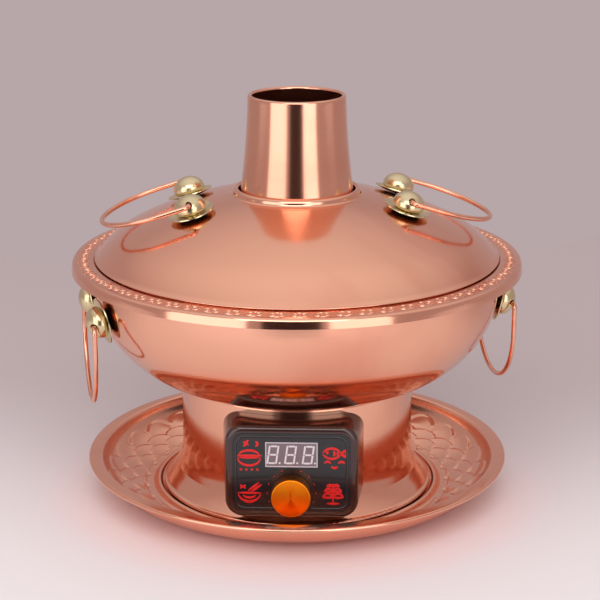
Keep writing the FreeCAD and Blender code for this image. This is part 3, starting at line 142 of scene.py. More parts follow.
def bend_line(stations, fine, bend=9.0):
    """Points and leans along a chain of (r, z, lean) stations.

    Each side is an arc that turns by the difference of its leans: the point at share t of a chord
    c that turns by s is c rotated by (t - 1) s / 2 and scaled by sin(t s / 2) / sin(s / 2). fine
    gives the most millimetres between points, one value or one per side, and bend the most degrees.
    """
    points = []
    leans = []
    for number in range(len(stations) - 1):
        r0, z0, lean0 = stations[number]
        r1, z1, lean1 = stations[number + 1]
        step = fine[number] if isinstance(fine, (list, tuple)) else fine
        chord = complex(r1 - r0, z1 - z0)
        sweep = math.radians(lean1 - lean0)
        turns = abs(sweep) / math.radians(bend)
        count = max(1, int(math.ceil(max(abs(chord) / step, turns))))
        share = np.arange(count) / count
        if abs(sweep) < 1e-6:
            run = complex(r0, z0) + chord * share
        else:
            scale = np.sin(share * sweep / 2) / math.sin(sweep / 2)
            run = complex(r0, z0) + chord * scale * np.exp(1j * (share - 1) * sweep / 2)
        points.append(np.stack([run.real, run.imag], 1))
        leans.append(lean0 + (lean1 - lean0) * share)
    points.append(np.array([stations[-1][:2]]))
    leans.append(np.array([stations[-1][2]]))
    return np.concatenate(points), np.radians(np.concatenate(leans))


def fill_mesh(name, verts, faces, sharp=38.0):
    """A shaded object from vertex rows and face index rows; sharp is the edge angle kept crisp."""
    mesh = bpy.data.meshes.new(name)
    mesh.from_pydata(np.asarray(verts, float).tolist(), [], [list(map(int, f)) for f in faces])
    mesh.validate()
    mesh.shade_smooth()
    mesh.set_sharp_from_angle(angle=math.radians(sharp))
    item = bpy.data.objects.new(name, mesh)
    bpy.context.scene.collection.objects.link(item)
    return item


def grid_quads(rows, columns, close_rows, close_columns):
    """Quads of a rows by columns vertex grid, closed round either way."""
    i = np.arange(rows if close_rows else rows - 1)
    j = np.arange(columns if close_columns else columns - 1)
    i, j = np.meshgrid(i, j, indexing="ij")
    i2 = (i + 1) % rows
    j2 = (j + 1) % columns
    corners = [i * columns + j, i * columns + j2, i2 * columns + j2, i2 * columns + j]
    return np.stack(corners, -1).reshape(-1, 4)


def spun_shell(name, stations, sheet, fine, back_fine, count, relief=None, edge=()):
    """A sheet shell of revolution in metres.

    The outer line follows the stations, the inner line lies one sheet thickness behind it along
    the normal (cos lean, sin lean), and the points of edge lie between their ends. Each ring point
    is (r cos a, r sin a, z). relief(r, a) lifts the outer line along its normal. A shell that
    starts on the axis is closed there by a fan on either side.
    """
    near, near_lean = bend_line(stations, fine)
    far, far_lean = bend_line(stations, back_fine, BACK_BEND)
    far = (far - sheet * np.stack([np.cos(far_lean), np.sin(far_lean)], 1))[::-1]
    angle = np.arange(count) * 2 * math.pi / count
    lift = np.zeros((len(near), count))
    if relief is not None:
        lift = relief(near[:, :1], angle[None, :])
    r = near[:, :1] + lift * np.cos(near_lean)[:, None]
    up = near[:, 1:] + lift * np.sin(near_lean)[:, None]
    tail = np.concatenate([np.asarray(edge, float).reshape(-1, 2), far])
    r = np.concatenate([r, np.repeat(tail[:, :1], count, 1)])
    up = np.concatenate([up, np.repeat(tail[:, 1:], count, 1)])
    poles = stations[0][0] == 0.0
    if poles:
        r = r[1:-1]
        up = up[1:-1]
    verts = np.stack([r * np.cos(angle), r * np.sin(angle), up], -1).reshape(-1, 3) * MM
    faces = [tuple(q) for q in grid_quads(len(r), count, not poles, True)]
    if poles:
        first = len(verts)
        verts = np.concatenate([verts, [[0, 0, near[0, 1] * MM], [0, 0, far[-1, 1] * MM]]])
        last_row = (len(r) - 1) * count
        ring = np.arange(count)
        after = (ring + 1) % count
        faces += list(zip(np.full(count, first), after, ring))
        faces += list(zip(np.full(count, first + 1), last_row + ring, last_row + after))
    item = fill_mesh(name, verts, faces)
    face_outwards(item)
    return item


def face_outwards(item):
    """Turn the faces out: the signed volume of a closed shell is the sum of a . (b x c) / 6."""
    mesh = item.data
    mesh.calc_loop_triangles()
    corner = np.empty(len(mesh.loop_triangles) * 3, dtype=np.int64)
    mesh.loop_triangles.foreach_get("vertices", corner)
    place = np.empty(len(mesh.vertices) * 3)
    mesh.vertices.foreach_get("co", place)
    tri = place.reshape(-1, 3)[corner.reshape(-1, 3)]
    if np.einsum("ij,ij->", tri[:, 0], np.cross(tri[:, 1], tri[:, 2])) < 0:
        mesh.flip_normals()


def swept_strokes(name, centre_lines, widths, heights, place):
    """Raised strokes with a half round section.

    centre_lines is (strokes, points, 2) in a flat frame; the section at share s of a half turn
    stands width cos s to the side and height sin s up, from STROKE_ROOT below the surface. place
    maps (u, v, up) to the surface.
    """
    lines = np.asarray(centre_lines, float)
    along = np.gradient(lines, axis=1)
    along /= np.linalg.norm(along, axis=2, keepdims=True) + 1e-12
    side = np.stack([-along[..., 1], along[..., 0]], -1)
    share = np.linspace(0, math.pi, SECTION_POINTS)
    taper = np.sin(np.linspace(TAPER_START, math.pi - TAPER_START, lines.shape[1])) ** 0.5
    width = np.asarray(widths)[:, None, None] * taper[None, :, None]
    height = np.asarray(heights)[:, None, None] * taper[None, :, None]
    u = lines[:, :, None, 0] + side[:, :, None, 0] * width * np.cos(share)
    v = lines[:, :, None, 1] + side[:, :, None, 1] * width * np.cos(share)
    up = height * np.sin(share) - STROKE_ROOT
    verts = place(u, v, up).reshape(-1, 3)
    strokes, points, section = u.shape
    quads = grid_quads(points, section, False, True)
    first_cap = np.arange(section)
    caps = np.array([first_cap, (first_cap + (points - 1) * section)[::-1]])
    faces = []
    for stroke in range(strokes):
        faces += (quads + stroke * points * section).tolist()
        faces += (caps + stroke * points * section).tolist()
    item = fill_mesh(name, verts, faces, sharp=60.0)
    face_outwards(item)
    return item


# shader node helpers


def add_node(tree, kind, **values):
    """A node with its properties and input defaults set."""
    made = tree.nodes.new(kind)
    for key, value in values.items():
        if hasattr(made, key):
            setattr(made, key, value)
        else:
            made.inputs[key.replace("_", " ")].default_value = value
    return made


def link(tree, source, target):
    """Join two sockets."""
    tree.links.new(source, target)


def math_node(tree, operation, first, second=None):
    """A Math node fed by sockets or numbers."""
    made = tree.nodes.new("ShaderNodeMath")
    made.operation = operation
    for number, value in enumerate((first, second)):
        if value is None:
            continue
        if isinstance(value, (int, float)):
            made.inputs[number].default_value = value
        else:
            tree.links.new(value, made.inputs[number])
    return made.outputs[0]


def length_of(tree, first, second):
    """Square root of the sum of two squared sockets."""
    squares = [math_node(tree, "MULTIPLY", value, value) for value in (first, second)]
    return math_node(tree, "SQRT", math_node(tree, "ADD", *squares))


def coordinates(tree, kind="Object"):
    """A coordinate socket and the sockets of its x, y and z."""
    place = add_node(tree, "ShaderNodeTexCoord").outputs[kind]
    parts = add_node(tree, "ShaderNodeSeparateXYZ")
    link(tree, place, parts.inputs[0])
    return place, parts.outputs


def ranged(tree, value, **limits):
    """A value mapped from one range to another, 0 to 1 where limits gives none."""
    made = add_node(tree, "ShaderNodeMapRange", **limits)
    link(tree, value, made.inputs["Value"])
    return made.outputs["Result"]


def group_tree(name, inputs, outputs):
    """An empty node group with float sockets; returns tree, input node, output node."""
    tree = bpy.data.node_groups.new(name, "ShaderNodeTree")
    for label, default in inputs:
        socket = tree.interface.new_socket(label, in_out="INPUT", socket_type="NodeSocketFloat")
        socket.default_value = default
    for label in outputs:
        tree.interface.new_socket(label, in_out="OUTPUT", socket_type="NodeSocketFloat")
    return tree, tree.nodes.new("NodeGroupInput"), tree.nodes.new("NodeGroupOutput")


def spun_marks_group():
    """Lathe lines and handling marks of spun sheet.

    Lines is a one dimensional noise of radius + height, so it is the same all round; Smudge is a
    soft noise over the surface; Stain picks its highest places.
    """
    tree, source, target = group_tree("spun_marks", [("Pitch", 900.0), ("Marks", 6.0)],
                                      ["Lines", "Smudge", "Stain"])
    place, parts = coordinates(tree)
    run = math_node(tree, "ADD", length_of(tree, parts[0], parts[1]), parts[2])
    lines = add_node(tree, "ShaderNodeTexNoise", noise_dimensions="1D", Scale=1.0, Detail=3.0,
                     Roughness=0.65)
    link(tree, math_node(tree, "MULTIPLY", run, source.outputs["Pitch"]), lines.inputs["W"])
    smudge = add_node(tree, "ShaderNodeTexNoise", Detail=4.0, Roughness=0.55, Distortion=0.6)
    link(tree, place, smudge.inputs["Vector"])
    link(tree, source.outputs["Marks"], smudge.inputs["Scale"])
    stain = ranged(tree, smudge.outputs["Fac"], From_Min=0.45, From_Max=0.72,
                   interpolation_type="SMOOTHSTEP")
    link(tree, lines.outputs["Fac"], target.inputs["Lines"])
    link(tree, smudge.outputs["Fac"], target.inputs["Smudge"])
    link(tree, stain, target.inputs["Stain"])
    return tree


def fine_grain_group():
    """Fine even grain of moulded, cast or rubber surfaces: two octaves of noise in object space."""
    tree, source, target = group_tree("fine_grain", [("Size", 400.0)], ["Grain", "Cloud"])
    place = add_node(tree, "ShaderNodeTexCoord")
    grain = add_node(tree, "ShaderNodeTexNoise", Detail=2.0, Roughness=0.6)
    cloud = add_node(tree, "ShaderNodeTexNoise", Scale=22.0, Detail=3.0, Roughness=0.5)
    link(tree, place.outputs["Object"], grain.inputs["Vector"])
    link(tree, source.outputs["Size"], grain.inputs["Scale"])
    link(tree, place.outputs["Object"], cloud.inputs["Vector"])
    link(tree, grain.outputs["Fac"], target.inputs["Grain"])
    link(tree, cloud.outputs["Fac"], target.inputs["Cloud"])
    return tree


GROUPS = {}


def group_in(tree, name, **values):
    """A shared node group placed in a material with its own values."""
    if name not in GROUPS:
        GROUPS[name] = {"spun_marks": spun_marks_group, "fine_grain": fine_grain_group}[name]()
    made = tree.nodes.new("ShaderNodeGroup")
    made.node_tree = GROUPS[name]
    for key, value in values.items():
        made.inputs[key].default_value = value
    return made


def new_material(name):
    """An empty node material with its Principled shader."""
    material = bpy.data.materials.new(name)
    material.use_nodes = True
    tree = material.node_tree
    return material, tree, tree.nodes["Principled BSDF"]


def mix_colours(tree, factor, first, second):
    """Two colours mixed by a factor; the first may be a socket."""
    made = tree.nodes.new("ShaderNodeMix")
    made.data_type = "RGBA"
    link(tree, factor, made.inputs[0])
    if isinstance(first, bpy.types.NodeSocket):
        link(tree, first, made.inputs[6])
    else:
        made.inputs[6].default_value = (*first, 1.0)
    made.inputs[7].default_value = (*second, 1.0)
    return made.outputs[2]


def bump(tree, shader, height, strength, distance):
    """A bump on the shader's normal."""
    made = add_node(tree, "ShaderNodeBump", Strength=strength, Distance=distance)
    link(tree, height, made.inputs["Height"])
    link(tree, made.outputs["Normal"], shader.inputs["Normal"])


def copper_finish(name, rough, pitch, line_depth, marks, deepen=0.35):
    """Spun copper: lathe lines in the bump, handling marks in roughness and colour."""
    colours = bpy.context.scene.hot_pot_colours
    material, tree, shader = new_material(name)
    shader.inputs["Metallic"].default_value = 1.0
    spun = group_in(tree, "spun_marks", Pitch=pitch, Marks=marks)
    clean = np.array(colours.copper)
    deep = clean + (np.array(colours.copper_deep) - clean) * deepen
    link(tree, mix_colours(tree, spun.outputs["Stain"], clean, deep), shader.inputs["Base Color"])
    dullness = ranged(tree, spun.outputs["Smudge"], To_Min=rough[0], To_Max=rough[1])
    link(tree, dullness, shader.inputs["Roughness"])
    bump(tree, shader, spun.outputs["Lines"], strength=0.35, distance=line_depth)
    return material


def grained_finish(name, first, second, rough, size, depth=0.00001, metallic=0.0, coat=0.0):
    """A moulded, cast or plated finish with fine grain and soft cloudy colour."""
    material, tree, shader = new_material(name)
    shader.inputs["Metallic"].default_value = metallic
    grain = group_in(tree, "fine_grain", Size=size)
    cloud = grain.outputs["Cloud"]
    link(tree, mix_colours(tree, cloud, first, second), shader.inputs["Base Color"])
    dullness = ranged(tree, cloud, To_Min=rough[0], To_Max=rough[1])
    link(tree, dullness, shader.inputs["Roughness"])
    if coat:
        shader.inputs["Coat Weight"].default_value = coat
        shader.inputs["Coat Roughness"].default_value = 0.05
    bump(tree, shader, grain.outputs["Grain"], strength=0.3, distance=depth)
    return material


def paint(node, material):
    """Give a CAD node a finish."""
    for place in frame["nodes"][node].material_slots:
        place.material = material


def seat(item, material, body, slot, *nodes):
    """Finish a new piece, set it on its body, and let it stand for CAD nodes."""
    item.data.materials.append(material)
    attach(item, body)
    if nodes:
        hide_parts(*nodes)
    return item


def around_rim(u, v, up):
    """Rim motif frame to the pot: v is the radius, u the arc from the motif's own angle."""
    pot = bpy.context.scene.hot_pot_sizes
    count = pot.motif_count
    per = u.shape[0] // count
    turn = np.repeat(np.arange(count) * 2 * math.pi / count, per)[:, None, None]
    angle = turn + u / SCROLL_RADIUS
    level = pot.rim_level - (v - RIM_BEND) * RIM_SLOPE + up
    return np.stack([v * np.cos(angle), v * np.sin(angle), level], -1) * MM


# operators


class HOTPOT_OT_stage(bpy.types.Operator):
    """Floor, backdrop, lamps and camera"""

    bl_idname = "hotpot.stage"
    bl_label = "Stage"

    def execute(self, context):
        colours = context.scene.hot_pot_colours
        self.add_floor(colours)
        self.add_world(context, colours)
        self.add_lamps(context)
        self.add_dark_card()
        self.add_camera(context)
        return {"FINISHED"}

    def add_floor(self, colours):
        """Grid of the floor; its far edge is the curve y = 0.61 + 0.2 x + 0.917 x^2, up to 3."""
        wide, deep = 121, 61
        start, end = -0.72, 3.0
        x = np.linspace(-3.0, 3.0, wide)
        share = np.linspace(0.0, 1.0, deep)
        far = np.minimum(0.61 + 0.2 * x + 0.917 * x * x, end)
        y = start + (far[:, None] - start) * share[None, :]
        verts = np.stack([np.repeat(x[:, None], deep, 1), y, np.zeros_like(y)], -1).reshape(-1, 3)
        floor = fill_mesh("floor", verts, grid_quads(wide, deep, False, False)[:, ::-1])
        floor.data.materials.append(self.floor_paper(colours))

    def floor_paper(self, colours):
        """Paper with painted shade towards the backdrop, a painted glow from the tray in front."""
        material, tree, shader = new_material("floor_paper")
        place, parts = coordinates(tree)
        # Painted shade: the floor darkens towards the backdrop.
        behind = ranged(tree, parts["Y"], From_Min=-0.16, From_Max=0.28,
                        interpolation_type="SMOOTHSTEP")
        tone = mix_colours(tree, behind, colours.floor, colours.floor_painted_shade)
        # Painted glow: copper-pink light close to the tray, on its front side only.
        distance = add_node(tree, "ShaderNodeVectorMath", operation="LENGTH")
        link(tree, place, distance.inputs[0])
        near = ranged(tree, distance.outputs["Value"], From_Min=0.15, From_Max=0.22, To_Min=1.0,
                      To_Max=0.0, interpolation_type="SMOOTHERSTEP")
        front = ranged(tree, parts["Y"], From_Min=0.10, From_Max=-0.10)
        glow = math_node(tree, "MULTIPLY", near, front)
        link(tree, mix_colours(tree, glow, tone, colours.floor_painted_glow), shader.inputs["Base Color"])
        shader.inputs["Roughness"].default_value = 0.85
        shader.inputs["Specular IOR Level"].default_value = 0.15
        return material

    def add_world(self, context, colours):
        """Backdrop colour round the horizon, blending to the ceiling's light straight above."""
        wall_top = 0.42
        world = bpy.data.worlds.new("studio")
        world.use_nodes = True
        tree = world.node_tree
        back = tree.nodes["Background"]
        _, parts = coordinates(tree, "Generated")
        height = ranged(tree, parts["Z"], From_Min=wall_top, From_Max=1.0)
        link(tree, mix_colours(tree, height, colours.wall, colours.ceiling), back.inputs["Color"])
        back.inputs["Strength"].default_value = 1.0
        context.scene.world = world

    def add_lamps(self, context):
        """Two soft boxes beside the camera and one above it, each turned to the pot."""
        boxes = (
            ("left_box", -40.0, 1.2, 0.25, 0.84, 1.3, 4.6, 88.0),
            ("right_box", 31.0, 1.2, 0.25, 0.62, 1.3, 3.7, 88.0),
            ("front_box", 0.0, 1.5, 1.45, 1.7, 1.1, 12.0, 48.0),
        )
        for name, azimuth, reach, up, wide, tall, power, tilt in boxes:
            lamp = bpy.data.lights.new(name, "AREA")
            lamp.shape = "RECTANGLE"
            lamp.size = wide
            lamp.size_y = tall
            lamp.energy = power
            turn = math.radians(azimuth)
            item = bpy.data.objects.new(name, lamp)
            item.location = (reach * math.sin(turn), -reach * math.cos(turn), up)
            item.rotation_euler = (math.radians(tilt), 0.0, turn)
            item.visible_camera = False
            context.scene.collection.objects.link(item)

    def add_dark_card(self):
        """Dark card between the side boxes, seen only as a reflection in the copper."""
        left, right, low, high, y = -0.31, 0.29, -0.55, 0.75, -1.27
        corners = [(left, y, low), (right, y, low), (right, y, high), (left, y, high)]
        card = fill_mesh("dark_card", corners, [(0, 1, 2, 3)])
        material, _, shader = new_material("dark_cloth")
        shader.inputs["Base Color"].default_value = (0.05, 0.03, 0.028, 1.0)
        shader.inputs["Roughness"].default_value = 1.0
        card.data.materials.append(material)
        card.visible_camera = False
        card.visible_shadow = False

    def add_camera(self, context):
        """Camera at the photograph's viewing angle, from a fit to the ellipses in it."""
        sensor = 36.0
        focal_share = 1777.0 / 600.0
        turn = math.radians(2.0)
        rise = math.radians(16.42)
        reach, aside, aim = 1.3572, 0.0023, 0.1463
        lens = bpy.data.cameras.new("camera")
        lens.sensor_fit = "HORIZONTAL"
        lens.sensor_width = sensor
        lens.lens = focal_share * sensor
        item = bpy.data.objects.new("camera", lens)
        side = np.array([math.cos(turn), math.sin(turn), 0.0])
        back = np.array([math.sin(turn) * math.cos(rise), -math.cos(turn) * math.cos(rise),
                         math.sin(rise)])
        item.location = np.array([0, 0, aim]) + side * aside + back * reach
        item.rotation_euler = (math.pi / 2 - rise, 0.0, turn)
        context.scene.collection.objects.link(item)
        context.scene.camera = item


class HOTPOT_OT_tray(bpy.types.Operator):
    """Tray with pressed scallops"""

    bl_idname = "hotpot.tray"
    bl_label = "Tray"

    def execute(self, context):
        rim = context.scene.hot_pot_sizes.tray_radius
        stations = [
            (0.0, 2.5, 90.0), (104.5, 2.5, 90.0), (106.25, 3.9, 155.0), (108.0, 5.3, 90.0),
            (110.1, 3.2, 28.0), (112.8, 1.0, 90.0), (117.2, 1.0, 90.0), (118.8, 2.0, 126.0),
            (120.4, 3.0, 106.0), (138.0, 8.0, 106.0), (150.5, 25.0, 168.0), (154.0, 27.3, 90.0),
            (rim - 1.6, 27.0, 84.0), (rim, 25.4, 0.0), (rim - 1.6, 23.8, -90.0),
            (rim - 3.04, 24.7, -155.0),
        ]
        fine = [20.0, 1.0, 1.0, 1.0, 1.0, 1.2, 0.9, 0.8, 0.8, 0.8, 1.2, 2.0, 0.9, 0.9, 0.9]
        item = spun_shell("tray_copper", stations, sheet=1.0, fine=fine, back_fine=14.0, count=500,
                          relief=self.scallops)
        material = copper_finish("tray_finish", rough=(0.10, 0.24), pitch=500.0,
                                 line_depth=0.00003, marks=7.0)
        seat(item, material, "tray", "copper", "tray")
        return {"FINISHED"}

    def scallops(self, r, angle):
        """Height of the overlapping scallops.

        Row k has its crests at radius R_k, and every second row stands half a pitch aside. At
        share a of a pitch from its middle a scallop's edge falls back by
        edge_fall (1 - sqrt(1 - (a / edge_share)^2)). A point belongs to the first row whose edge
        lies outside it, and stands highest just inside that edge.
        """
        crests = (120.5, 129.5, 138.5, 147.5)
        edge_fall, edge_share = 9.0, 0.54
        slope, step = 12.0, 0.9
        inner, inner_fade = 112.5, 3.0
        outer, outer_fade = 149.5, 2.5
        pot = bpy.context.scene.hot_pot_sizes
        height = np.zeros(np.broadcast(r, angle).shape)
        free = np.ones_like(height, dtype=bool)
        for row, crest in enumerate(crests):
            share = (angle * pot.scale_count / (2 * math.pi) + 0.5 * (row % 2)) % 1.0 - 0.5
            fall = edge_fall * (1 - np.sqrt(np.clip(1 - (share / edge_share) ** 2, 0, 1)))
            depth = crest - fall - r
            soft = np.clip(depth / slope, 0, 1)
            rise = (1 - soft * soft * (3 - 2 * soft)) * np.clip(depth / step, 0, 1)
            height = np.where(free & (depth > 0), rise, height)
            free &= depth <= 0
        near = np.clip((r - inner) / inner_fade, 0, 1) * np.clip((outer - r) / outer_fade, 0, 1)
        return height * near * pot.scale_rise


class HOTPOT_OT_bowl(bpy.types.Operator):
    """Bowl with its turned rim and the scroll ornament on it"""

    bl_idname = "hotpot.bowl"
    bl_label = "Bowl"

    def execute(self, context):
        pot = context.scene.hot_pot_sizes
        out = pot.rim_radius
        mouth = pot.rim_level
        stations = [
            (0.0, 87.8, -90.0), (71.0, 87.8, -90.0), (145.5, 132.7, -27.8), (153.0, 163.1, 0.0),
            (153.0, mouth - 2.34, 0.0), (153.93, mouth - 1.35, -93.8),
            (out - 3.2, mouth - 2.2, -93.8), (out - 1.9, mouth - 3.6, -174.0),
            (out - 1.3, 175.4, -175.0),
        ]
        item = spun_shell("bowl_copper", stations, sheet=1.2, fine=3.0, back_fine=3.0, count=288)
        material = copper_finish("bowl_finish", rough=(0.07, 0.17), pitch=420.0,
                                 line_depth=0.00002, marks=7.0, deepen=0.6)
        seat(item, material, "pot", "copper", "bowl")
        self.add_scrolls(pot)
        return {"FINISHED"}

    def add_scrolls(self, pot):
        """Scroll motifs repeated round the rim, of arcs u = cu + q cos t, v = cv + q sin t."""
        arcs = (
            (-2.9, 160.9, 2.9, 20.0, 290.0, 0.75), (-2.8, 160.7, 1.3, -60.0, 200.0, 0.6),
            (2.9, 160.1, 2.9, 200.0, 470.0, 0.75), (2.8, 160.3, 1.3, 120.0, 380.0, 0.6),
            (0.1, 167.9, 3.6, 238.0, 302.0, 0.65), (-0.1, 153.1, 3.6, 58.0, 122.0, 0.65),
        )
        lines = []
        for cu, cv, q, start, end, _ in arcs:
            t = np.radians(np.linspace(start, end, 11))
            lines.append(np.stack([cu + q * np.cos(t), cv + q * np.sin(t)], -1))
        lines = np.tile(np.array(lines), (pot.motif_count, 1, 1))
        widths = np.tile([arc[-1] for arc in arcs], pot.motif_count)
        rises = widths / widths.max() * pot.motif_rise
        item = swept_strokes("rim_scrolls", lines, widths, rises + STROKE_ROOT, around_rim)
        material = copper_finish("scroll_finish", rough=(0.10, 0.2), pitch=420.0,
                                 line_depth=0.00001, marks=30.0)
        seat(item, material, "pot", "copper")


class HOTPOT_OT_lid(bpy.types.Operator):
    """Ring lid with its collar, crown, shoulder, bead and skirt"""

    bl_idname = "hotpot.lid"
    bl_label = "Lid"

    def execute(self, context):
        pot = context.scene.hot_pot_sizes
        collar = pot.collar_radius
        stations = [
            (collar - 0.9, 233.4, 180.0), (collar + 1.1, 235.3, 90.0), (collar + 3.7, 232.4, 8.0),
            (collar + 5.9, 230.3, 79.0), (125.0, 205.95, 63.3), (150.3, 186.0, 38.5),
        ]
        bead, half = pot.rim_level + 0.3, 0.5
        out = pot.lid_radius - half
        skirt, skirt_inside, skirt_end = 150.3, 149.3, 176.5
        turn = np.radians(np.linspace(90.0, -90.0, 7))
        edge = [(out + half * math.cos(a), bead + half + half * math.sin(a)) for a in turn]
        edge += [(skirt, bead), (skirt, skirt_end), (skirt_inside, skirt_end)]
        fine = [0.5, 0.5, 0.5, 2.0, 2.0]
        item = spun_shell("lid_copper", stations, sheet=1.0, fine=fine, back_fine=2.5, count=288,
                          edge=edge)
        material = copper_finish("lid_finish", rough=(0.09, 0.22), pitch=520.0,
                                 line_depth=0.00002, marks=5.0, deepen=0.7)
        seat(item, material, "lid", "copper", "lid")
        return {"FINISHED"}


class HOTPOT_OT_chimney(bpy.types.Operator):
    """Chimney tube with its rolled lip"""

    bl_idname = "hotpot.chimney"
    bl_label = "Chimney"

    def execute(self, context):
        pot = context.scene.hot_pot_sizes
        top = pot.chimney_top
        level = pot.chimney_level
        lip = 1.7
        stations = [
            (top - 2 * lip, level - lip, 180.0), (top - lip, level, 90.0), (top, level - lip, 1.4),
            (47.0, 205.0, 10.5), (52.0, 150.0, 0.0), (52.0, 93.2, 0.0), (55.0, 90.2, 90.0),
            (60.0, 90.2, 90.0),
        ]
        item = spun_shell("chimney_copper", stations, sheet=1.2, fine=2.0, back_fine=2.0, count=224)
        material = copper_finish("chimney_finish", rough=(0.10, 0.20), pitch=1500.0,
                                 line_depth=0.00005, marks=9.0, deepen=0.5)
        seat(item, material, "pot", "copper", "chimney")
        return {"FINISHED"}


class HOTPOT_OT_pedestal(bpy.types.Operator):
    """Finish of the pedestal shell"""

    bl_idname = "hotpot.pedestal"
    bl_label = "Pedestal"

    def execute(self, context):
        material = copper_finish("pedestal_finish", rough=(0.08, 0.2), pitch=700.0,
                                 line_depth=0.00003, marks=8.0)
        paint("pedestal_shell", material)
        return {"FINISHED"}


class HOTPOT_OT_rings(bpy.types.Operator):
    """Finishes of the wire rings, the knobs and their washers"""

    bl_idname = "hotpot.rings"
    bl_label = "Rings and knobs"

    def execute(self, context):
        wire = copper_finish("wire_finish", rough=(0.14, 0.28), pitch=300.0, line_depth=0.00001,
                             marks=20.0, deepen=0.9)
        brass = np.array(context.scene.hot_pot_colours.brass)
        knob = grained_finish("brass_finish", brass, brass * 0.8, rough=(0.14, 0.3), size=300.0,
                              depth=0.00002, metallic=1.0)
        for owner in ("lid", "bowl"):
            paint(owner + "_ring_left", wire)
            paint(owner + "_ring_right", wire)
            paint(owner + "_knobs", knob)
            paint(owner + "_cup_washers", knob)
        return {"FINISHED"}


class HOTPOT_OT_control_box(bpy.types.Operator):
    """Control box, face plate, print and display"""

    bl_idname = "hotpot.control_box"
    bl_label = "Control box"

    def execute(self, context):
        colours = context.scene.hot_pot_colours
        shell = np.array(colours.shell)
        face = np.array(colours.face)
        # The shell's brown tint is a painted reflection of the copper; its dark tone is the
        # moulding's own.
        paint("control_box", grained_finish(
            "box_painted_reflection", shell, shell * 1.6, rough=(0.12, 0.2), size=250.0, coat=0.4))
        paint("face_plate", grained_finish(
            "face_finish", face, face * 1.5, rough=(0.2, 0.28), size=250.0, coat=0.3))
        paint("display", grained_finish(
            "display_finish", (0.17, 0.13, 0.15), (0.2, 0.155, 0.175), rough=(0.3, 0.4),
            size=300.0))
        paint("display_digits", grained_finish(
            "digit_finish", (0.68, 0.64, 0.67), (0.75, 0.7, 0.73), rough=(0.35, 0.45), size=300.0))
        self.add_print(context.scene.hot_pot_sizes.print_thick, np.array(colours.print_red))
        self.add_display_frame()
        self.add_bezel(face)
        return {"FINISHED"}

    def add_print(self, thick, red):
        """Pictograms and the dots round the dial, as thin raised strokes on the face plate."""
        points = 13
        width, height, root = 1.05, 0.16, 0.02
        front = float(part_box("face_plate")[0][1])
        strokes = []

        def arc(x, up, q, start, end, squash=1.0):
            t = np.radians(np.linspace(start, end, points))
            strokes.append(np.stack([x + q * np.cos(t), up + q * squash * np.sin(t)], -1))

        def line(x0, z0, x1, z1):
            share = np.linspace(0, 1, points)[:, None]
            strokes.append(np.array([[x0, z0]]) * (1 - share) + np.array([[x1, z1]]) * share)

        def place(u, v, up):
            return np.stack([u * MM, front - np.clip(up, -root, thick) * MM, v * MM], -1)

        self.draw_pot(arc, line, -30.5, 60.5)
        self.draw_fish(arc, line, 30.0, 64.0)
        self.draw_bowl(arc, line, -30.5, 33.0)
        self.draw_greens(arc, line, 30.0, 34.0)
        self.draw_dots(line)
        count = len(strokes)
        item = swept_strokes("face_print", np.array(strokes), np.full(count, width),
                             np.full(count, height), place)
        material = grained_finish("print_finish", red, red * 0.8, rough=(0.4, 0.5), size=400.0,
                                  depth=0.000005)
        seat(item, material, "pot", "display_white")

    def draw_pot(self, arc, line, x, up):
        """Steaming pot with a lid and four feet."""
        arc(x, up, 8.2, 180, 360, 0.75)
        line(x - 8.2, up, x + 8.2, up)
        line(x - 9.8, up + 1.4, x + 9.8, up + 1.4)
        arc(x, up + 1.4, 7.4, 0, 180, 0.55)
        arc(x - 4.4, up + 10.4, 1.7, -90, 90)
        arc(x, up + 11.4, 1.7, 90, 270)
        arc(x + 4.4, up + 10.4, 1.7, -90, 90)
        for step in (-6, -2, 2, 6):
            line(x + step, up - 8.4, x + step, up - 10.2)

    def draw_fish(self, arc, line, x, up):
        """Fish over a wave."""
        arc(x - 1, up - 3.4, 7.6, 28, 152)
        arc(x - 1, up + 3.8, 7.6, 208, 332)
        line(x + 5.6, up + 0.2, x + 9.4, up + 3.4)
        line(x + 5.6, up + 0.2, x + 9.4, up - 3.0)
        line(x + 9.4, up + 3.4, x + 9.4, up - 3.0)
        arc(x - 4.0, up + 0.9, 0.6, 0, 330)
        arc(x - 1.2, up + 0.2, 2.2, -60, 60)
        arc(x + 1.6, up + 0.2, 1.8, -60, 60)
        arc(x - 4, up - 8.4, 2.4, 20, 160)
        arc(x + 1, up - 8.4, 2.4, 200, 340)
        arc(x + 6, up - 8.4, 2.4, 20, 160)

    def draw_bowl(self, arc, line, x, up):
        """Steaming bowl with chopsticks."""
        arc(x, up, 8.0, 180, 360, 0.8)
        line(x - 8.8, up + 0.2, x + 8.8, up + 0.2)
        line(x - 3.4, up - 6.8, x + 3.4, up - 6.8)
        line(x - 1.0, up + 1.6, x + 7.4, up + 8.6)
        line(x + 1.4, up + 1.2, x + 9.2, up + 7.0)
        arc(x - 4.6, up + 3.2, 1.7, 0, 180)
        arc(x - 4.6, up + 6.8, 1.7, 180, 360)
        arc(x, up - 0.4, 5.0, 200, 340, 0.6)

    def draw_greens(self, arc, line, x, up):
        """Leafy greens: pairs of leaves up a stem."""
        line(x, up - 8.0, x, up + 7.6)
        for level, reach in ((-3.0, 7.4), (1.4, 6.2), (5.4, 4.4)):
            for side in (-1, 1):
                arc(x + side * reach / 2, up + level - 1.4, reach / 2, 0, 180)
                arc(x + side * reach / 2, up + level + 0.6, reach / 2, 180, 360, 0.4)
        line(x - 5.0, up - 8.4, x + 5.0, up - 8.4)

    def draw_dots(self, line):
        """Dots round the dial, except for those that would meet the display."""
        half, top = 0.25, 51.0
        for angle in np.radians(np.linspace(-48.0, 228.0, 13)):
            way = np.array([math.cos(angle), math.sin(angle)])
            spot = np.array([0.0, DIAL_LEVEL]) + DOT_RADIUS * way
            if spot[1] < top:
                line(*(spot - half * way), *(spot + half * way))

